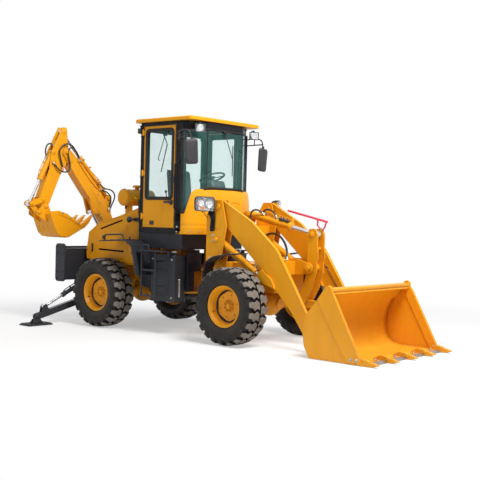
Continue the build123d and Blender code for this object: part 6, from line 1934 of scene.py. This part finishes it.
# Hoses of the backhoe
hoeHoses = {
    "crowd_hose_outer": {"diameter": 0.024, "length": 0.87, "bodies": ("boom", "stick"), "points": [
        (100, -448, 2606), (102, -500, 2702), (104, -570, 2806), (102, -655, 2850), (100, -762, 2832),
        (98, -838, 2760),
        (96, -850, 2680), (92, -812, 2570), (84, -778, 2496), (72, -762, 2436)]},
    "crowd_hose_inner": {"diameter": 0.024, "length": 1.05, "bodies": ("boom", "stick"), "points": [
        (102, -425, 2590), (108, -480, 2690), (110, -556, 2776), (108, -640, 2796), (108, -694, 2722),
        (110, -668, 2610),
        (110, -634, 2500), (108, -652, 2415), (104, -738, 2378), (98, -838, 2402), (88, -912, 2474),
        (76, -950, 2524)]},
    "bucket_ram_hose": {"diameter": 0.024, "length": 0.34, "bodies": ("stick", "bucket_ram_barrel"),
                        "points": [
        (40, -932, 2806), (40, -988, 2838), (40, -1056, 2806), (40, -1084, 2722), (36, -1078, 2664),
        (24, -1046, 2610)]},
    "boom_hose_outer": {"diameter": 0.024, "length": 0.68, "bodies": ("boom", "boom"), "points": [
        (98, -10, 2248), (98, 40, 2196), (100, 104, 2152), (104, 218, 2146), (106, 304, 2106),
        (106, 338, 2034),
        (104, 310, 1948), (102, 262, 1870), (101, 238, 1800)]},
    "boom_hose_inner": {"diameter": 0.024, "length": 0.47, "bodies": ("boom", "boom"), "points": [
        (98, 20, 2140), (98, 84, 2118), (99, 164, 2100), (100, 236, 2040), (102, 254, 1960),
        (101, 236, 1876),
        (101, 206, 1816)]},
}
for name, look in hoeHoses.items():
    layHose(name, dict(look, points=[hoeAt(*point) for point in look["points"]]))
bm = bmesh.new()
for x, y, z, size in ((93, -438, 2590, (0.034, 0.070, 0.040)), (94, 6, 2250, (0.030, 0.050, 0.050)),
                      (93, 10, 2138, (0.028, 0.050, 0.040)), (92, 222, 1792, (0.026, 0.070, 0.036))):
    softBlock(bm, hoeAt(x, y, z), size, 0.004)
line = hoeLine(96, ((6, 2262), (-36, 2310), (-150, 2400), (-380, 2566), (-430, 2586)))
pipe(bm, bend(line, 0.05, 5), 0.008, 10)
line = hoeLine(94, ((0, 2146), (-60, 2160), (-180, 2262), (-400, 2500), (-442, 2570)))
pipe(bm, bend(line, 0.05, 5), 0.008, 10)
makePiece("boom_bulkheads", bm, yellowPaint, "boom")
bm = bmesh.new()
softBlock(bm, hoeAt(68, -764, 2420), (0.026, 0.044, 0.036), 0.004)
softBlock(bm, hoeAt(68, -956, 2536), (0.026, 0.040, 0.040), 0.004)
softBlock(bm, hoeAt(40, -916, 2796), (0.040, 0.034, 0.034), 0.004)
makePiece("stick_bulkheads", bm, yellowPaint, "stick")

# Side-shift beam and carriage: clamps, jack bolts, end-cap bolts, seams
bm = bmesh.new()
for y in (560, 860):
    for z in (1190, 1150, 700, 650):
        hexBolt(bm, rearAt(-1010, y, z), (-1, 0, 0), 0.028)
for y in (600, 820):
    for z in (1228, 618):
        up = 1 if z > 1000 else -1
        turned(bm, [(-0.004, 0.012), (0.020, 0.012)], rearAt(-940, y, z), (0, 0, up), 14)
        hexBolt(bm, rearAt(-940, y, z), (0, 0, up), 0.026)
makePiece("carriage_bolts", bm, platedSteel, "swing_carriage")
bm = bmesh.new()
for y in (560, 860):
    for z in (1168, 674):
        softBlock(bm, rearAt(-1012, y, z), (0.014, 0.090, 0.116), 0.004)
for z in (790, 930):
    softBlock(bm, rearAt(-1011, 710, z), (0.010, 0.330, 0.016), 0.004)
makePiece("carriage_clamps", bm, blackPaint, "swing_carriage")
bm = bmesh.new()
for side in (-1, 1):
    for z in (690, 800, 1080, 1190):
        for x in (-930, -800):
            hexBolt(bm, rearAt(x, side * 1001, z), (0, side, 0), 0.024)
    for x, z in ((-735, 700), (-735, 790), (-735, 600)):
        hexBolt(bm, rearAt(-651, side * 440, z), (1, 0, 0), 0.020)
makePiece("beam_bolts", bm, greyPaint)
bm = bmesh.new()
for z in (1164, 682):
    pipe(bm, [rearAt(-969, -960, z), rearAt(-969, 960, z)], 0.006, 8)
for side in (-1, 1):
    for x in (-745, -970):
        bead(bm, rearAt(x, side * 974, 690), rearAt(x, side * 974, 1156), 0.006)
    out = Vector((1, 0, 0))
    pinCap(bm, rearAt(-641, side * 320, 440), out, 0.024, 0.008)
    pinCap(bm, rearAt(-641, side * 415, 745), out, 0.020, 0.008)
makePiece("beam_seams", bm, greyPaint)

# Stabilizers: seams on the legs, pad ribs, pin caps
for side, name in ((-1, "right"), (1, "left")):
    bm = bmesh.new()
    pivot, foot = rearAt(-700, side * 320, 440), rearAt(-700, side * 1540, 130)
    run = (foot - pivot).normalized()
    up = Vector((0, -run.z * side, run.y * side))
    for x in (-0.0335, 0.0335):
        shift = Vector((x, 0, 0))
        pipe(bm, [pivot + run * 0.06 + up * 0.047 + shift, foot - run * 0.16 + up * 0.045 + shift], 0.0035,
             6)
        pipe(bm, [pivot + run * 0.06 - up * 0.047 + shift, foot - run * 0.16 - up * 0.045 + shift], 0.0035,
             6)
    for k in (0.28, 0.62):
        place = pivot.lerp(foot, k)
        turn = Matrix((Vector((side, 0, 0)), run, up)).transposed()
        softBlock(bm, place + Vector((0.036, 0, 0)), (0.006, 0.150, 0.060), 0.002, turn)
    makePiece("leg_seams_" + name, bm, greyPaint, "stabilizer_leg_" + name)
    bm = bmesh.new()
    for y in (1352, 1738):
        softBlock(bm, rearAt(-700, side * y, 28), (0.230, 0.014, 0.016), 0.004)
    for x in (-806, -594):
        softBlock(bm, rearAt(x, side * 1545, 28), (0.014, 0.380, 0.016), 0.004)
    for x in (-742, -658):
        web = [(x, 1440, 24), (x, 1650, 24), (x, 1590, 96), (x, 1500, 96)]
        cutPlate(bm, [rearAt(a, side * b, c) for a, b, c in web], (0.008, 0, 0), 0.002)
    for way in (-1, 1):
        pinCap(bm, rearAt(-700 + way * 43, side * 1540, 130), (way, 0, 0), 0.018, 0.006)
    makePiece("pad_ribs_" + name, bm, greyPaint, "stabilizer_pad_" + name)
print("backhoe and stabilizers dressed")


# Floor: pale, keeps the shadow close to the machine and goes white further out
floorLook = {"reach": 60.0, "near": 3.2, "far": 7.5, "white": 0.42, "colour": (0.86, 0.86, 0.86)}


def seenRays(tree):  # 1 for what the camera, a mirror or a pane looks at, 0 for plain light
    ray = addNode(tree, "ShaderNodeLightPath")
    seen = sums(tree, "MAXIMUM", ray.outputs["Is Camera Ray"], ray.outputs["Is Glossy Ray"])
    return sums(tree, "MAXIMUM", seen, ray.outputs["Is Transmission Ray"])


def layFloor(look):
    bm = bmesh.new()
    bmesh.ops.create_grid(bm, x_segments=12, y_segments=12, size=look["reach"])
    mesh = bpy.data.meshes.new("studio_floor")
    bm.to_mesh(mesh)
    bm.free()
    finish, tree, shader, place = startFinish("studio floor")
    grain = noiseAt(tree, place, 3, 4)
    shade = tuple(0.985 * part for part in look["colour"])
    plug(tree, blendColour(tree, grain, look["colour"], shade), shader.inputs["Base Color"])
    shader.inputs["Roughness"].default_value = 0.85
    shader.inputs["Specular IOR Level"].default_value = 0.1
    distance = addNode(tree, "ShaderNodeVectorMath", operation="LENGTH")
    plug(tree, place, distance.inputs[0])
    outward = span(tree, distance.outputs["Value"], look["near"], look["far"], look["white"], 1.0)
    seen = seenRays(tree)
    glow = addNode(tree, "ShaderNodeEmission")
    mixed = addNode(tree, "ShaderNodeMixShader")
    plug(tree, sums(tree, "MULTIPLY", outward, seen), mixed.inputs["Fac"])
    tree.links.new(shader.outputs["BSDF"], mixed.inputs[1])
    tree.links.new(glow.outputs["Emission"], mixed.inputs[2])
    tree.links.new(mixed.outputs["Shader"], tree.nodes[1].inputs["Surface"])
    mesh.materials.append(finish)
    floor = bpy.data.objects.new("studio_floor", mesh)
    floor.location.z = cadLow.z - 0.001
    addToScene(floor)


layFloor(floorLook)

# World: white where it is seen or mirrored, soft grey where it only lights
world = bpy.data.worlds.new("studio")
world.use_nodes = True
tree = world.node_tree
tree.nodes.clear()
seenSky = addNode(tree, "ShaderNodeBackground")
litSky = addNode(tree, "ShaderNodeBackground")
litSky.inputs["Color"].default_value = (0.90, 0.94, 1.0, 1.0)
litSky.inputs["Strength"].default_value = 0.30
seenSky.inputs["Color"].default_value = (1.0, 1.0, 1.0, 1.0)
seen = seenRays(tree)
skyMix = addNode(tree, "ShaderNodeMixShader")
skyOut = addNode(tree, "ShaderNodeOutputWorld")
plug(tree, seen, skyMix.inputs["Fac"])
tree.links.new(litSky.outputs["Background"], skyMix.inputs[1])
tree.links.new(seenSky.outputs["Background"], skyMix.inputs[2])
tree.links.new(skyMix.outputs["Shader"], skyOut.inputs["Surface"])
bpy.context.scene.world = world

# Lamps: a broad key ahead and above, a weaker one beside, a little from behind
lampTable = [
    {"name": "key", "place": (6.4, -1.7, 10.0), "aim": (0.3, 0, 1.0), "size": 4.5, "power": 1600,
     "colour": (1, 0.98, 0.95)},
    {"name": "side", "place": (-1.0, -9.5, 5.5), "aim": (0, 0, 1.2), "size": 6.0, "power": 90,
     "colour": (1, 0.99, 0.97)},
    {"name": "back", "place": (-8.5, 5.0, 6.5), "aim": (-1, 0, 1.4), "size": 5.0, "power": 300,
     "colour": (0.97, 0.98, 1)},
]
for lamp in lampTable:
    light = bpy.data.lights.new(lamp["name"], "AREA")
    light.size = lamp["size"]
    light.energy = lamp["power"]
    light.color = lamp["colour"]
    holder = bpy.data.objects.new(lamp["name"], light)
    holder.location = lamp["place"]
    holder.rotation_euler = (Vector(lamp["aim"])
                             - Vector(lamp["place"])).to_track_quat("-Z", "Y").to_euler()
    addToScene(holder)

# Camera
cameraSet = {"place": (8.63, -9.695, 1.684), "heading": 130.78, "pitch": -1.304, "roll": 1.497,
             "lens": 66.07, "sensor": 36, "far": 200}
lens = bpy.data.cameras.new("camera")
lens.lens = cameraSet["lens"]
lens.sensor_width = cameraSet["sensor"]
lens.clip_end = cameraSet["far"]
camera = bpy.data.objects.new("camera", lens)
tilt = Matrix.Rotation(math.radians(cameraSet["heading"] - 90), 4, "Z")
tilt = tilt @ Matrix.Rotation(math.radians(90 + cameraSet["pitch"]), 4, "X")
tilt = tilt @ Matrix.Rotation(math.radians(cameraSet["roll"]), 4, "Z")
camera.matrix_world = Matrix.Translation(Vector(cameraSet["place"])) @ tilt
addToScene(camera)
bpy.context.scene.camera = camera
bpy.context.scene.view_settings.view_transform = "Standard"
print("floor, lamps and camera set")
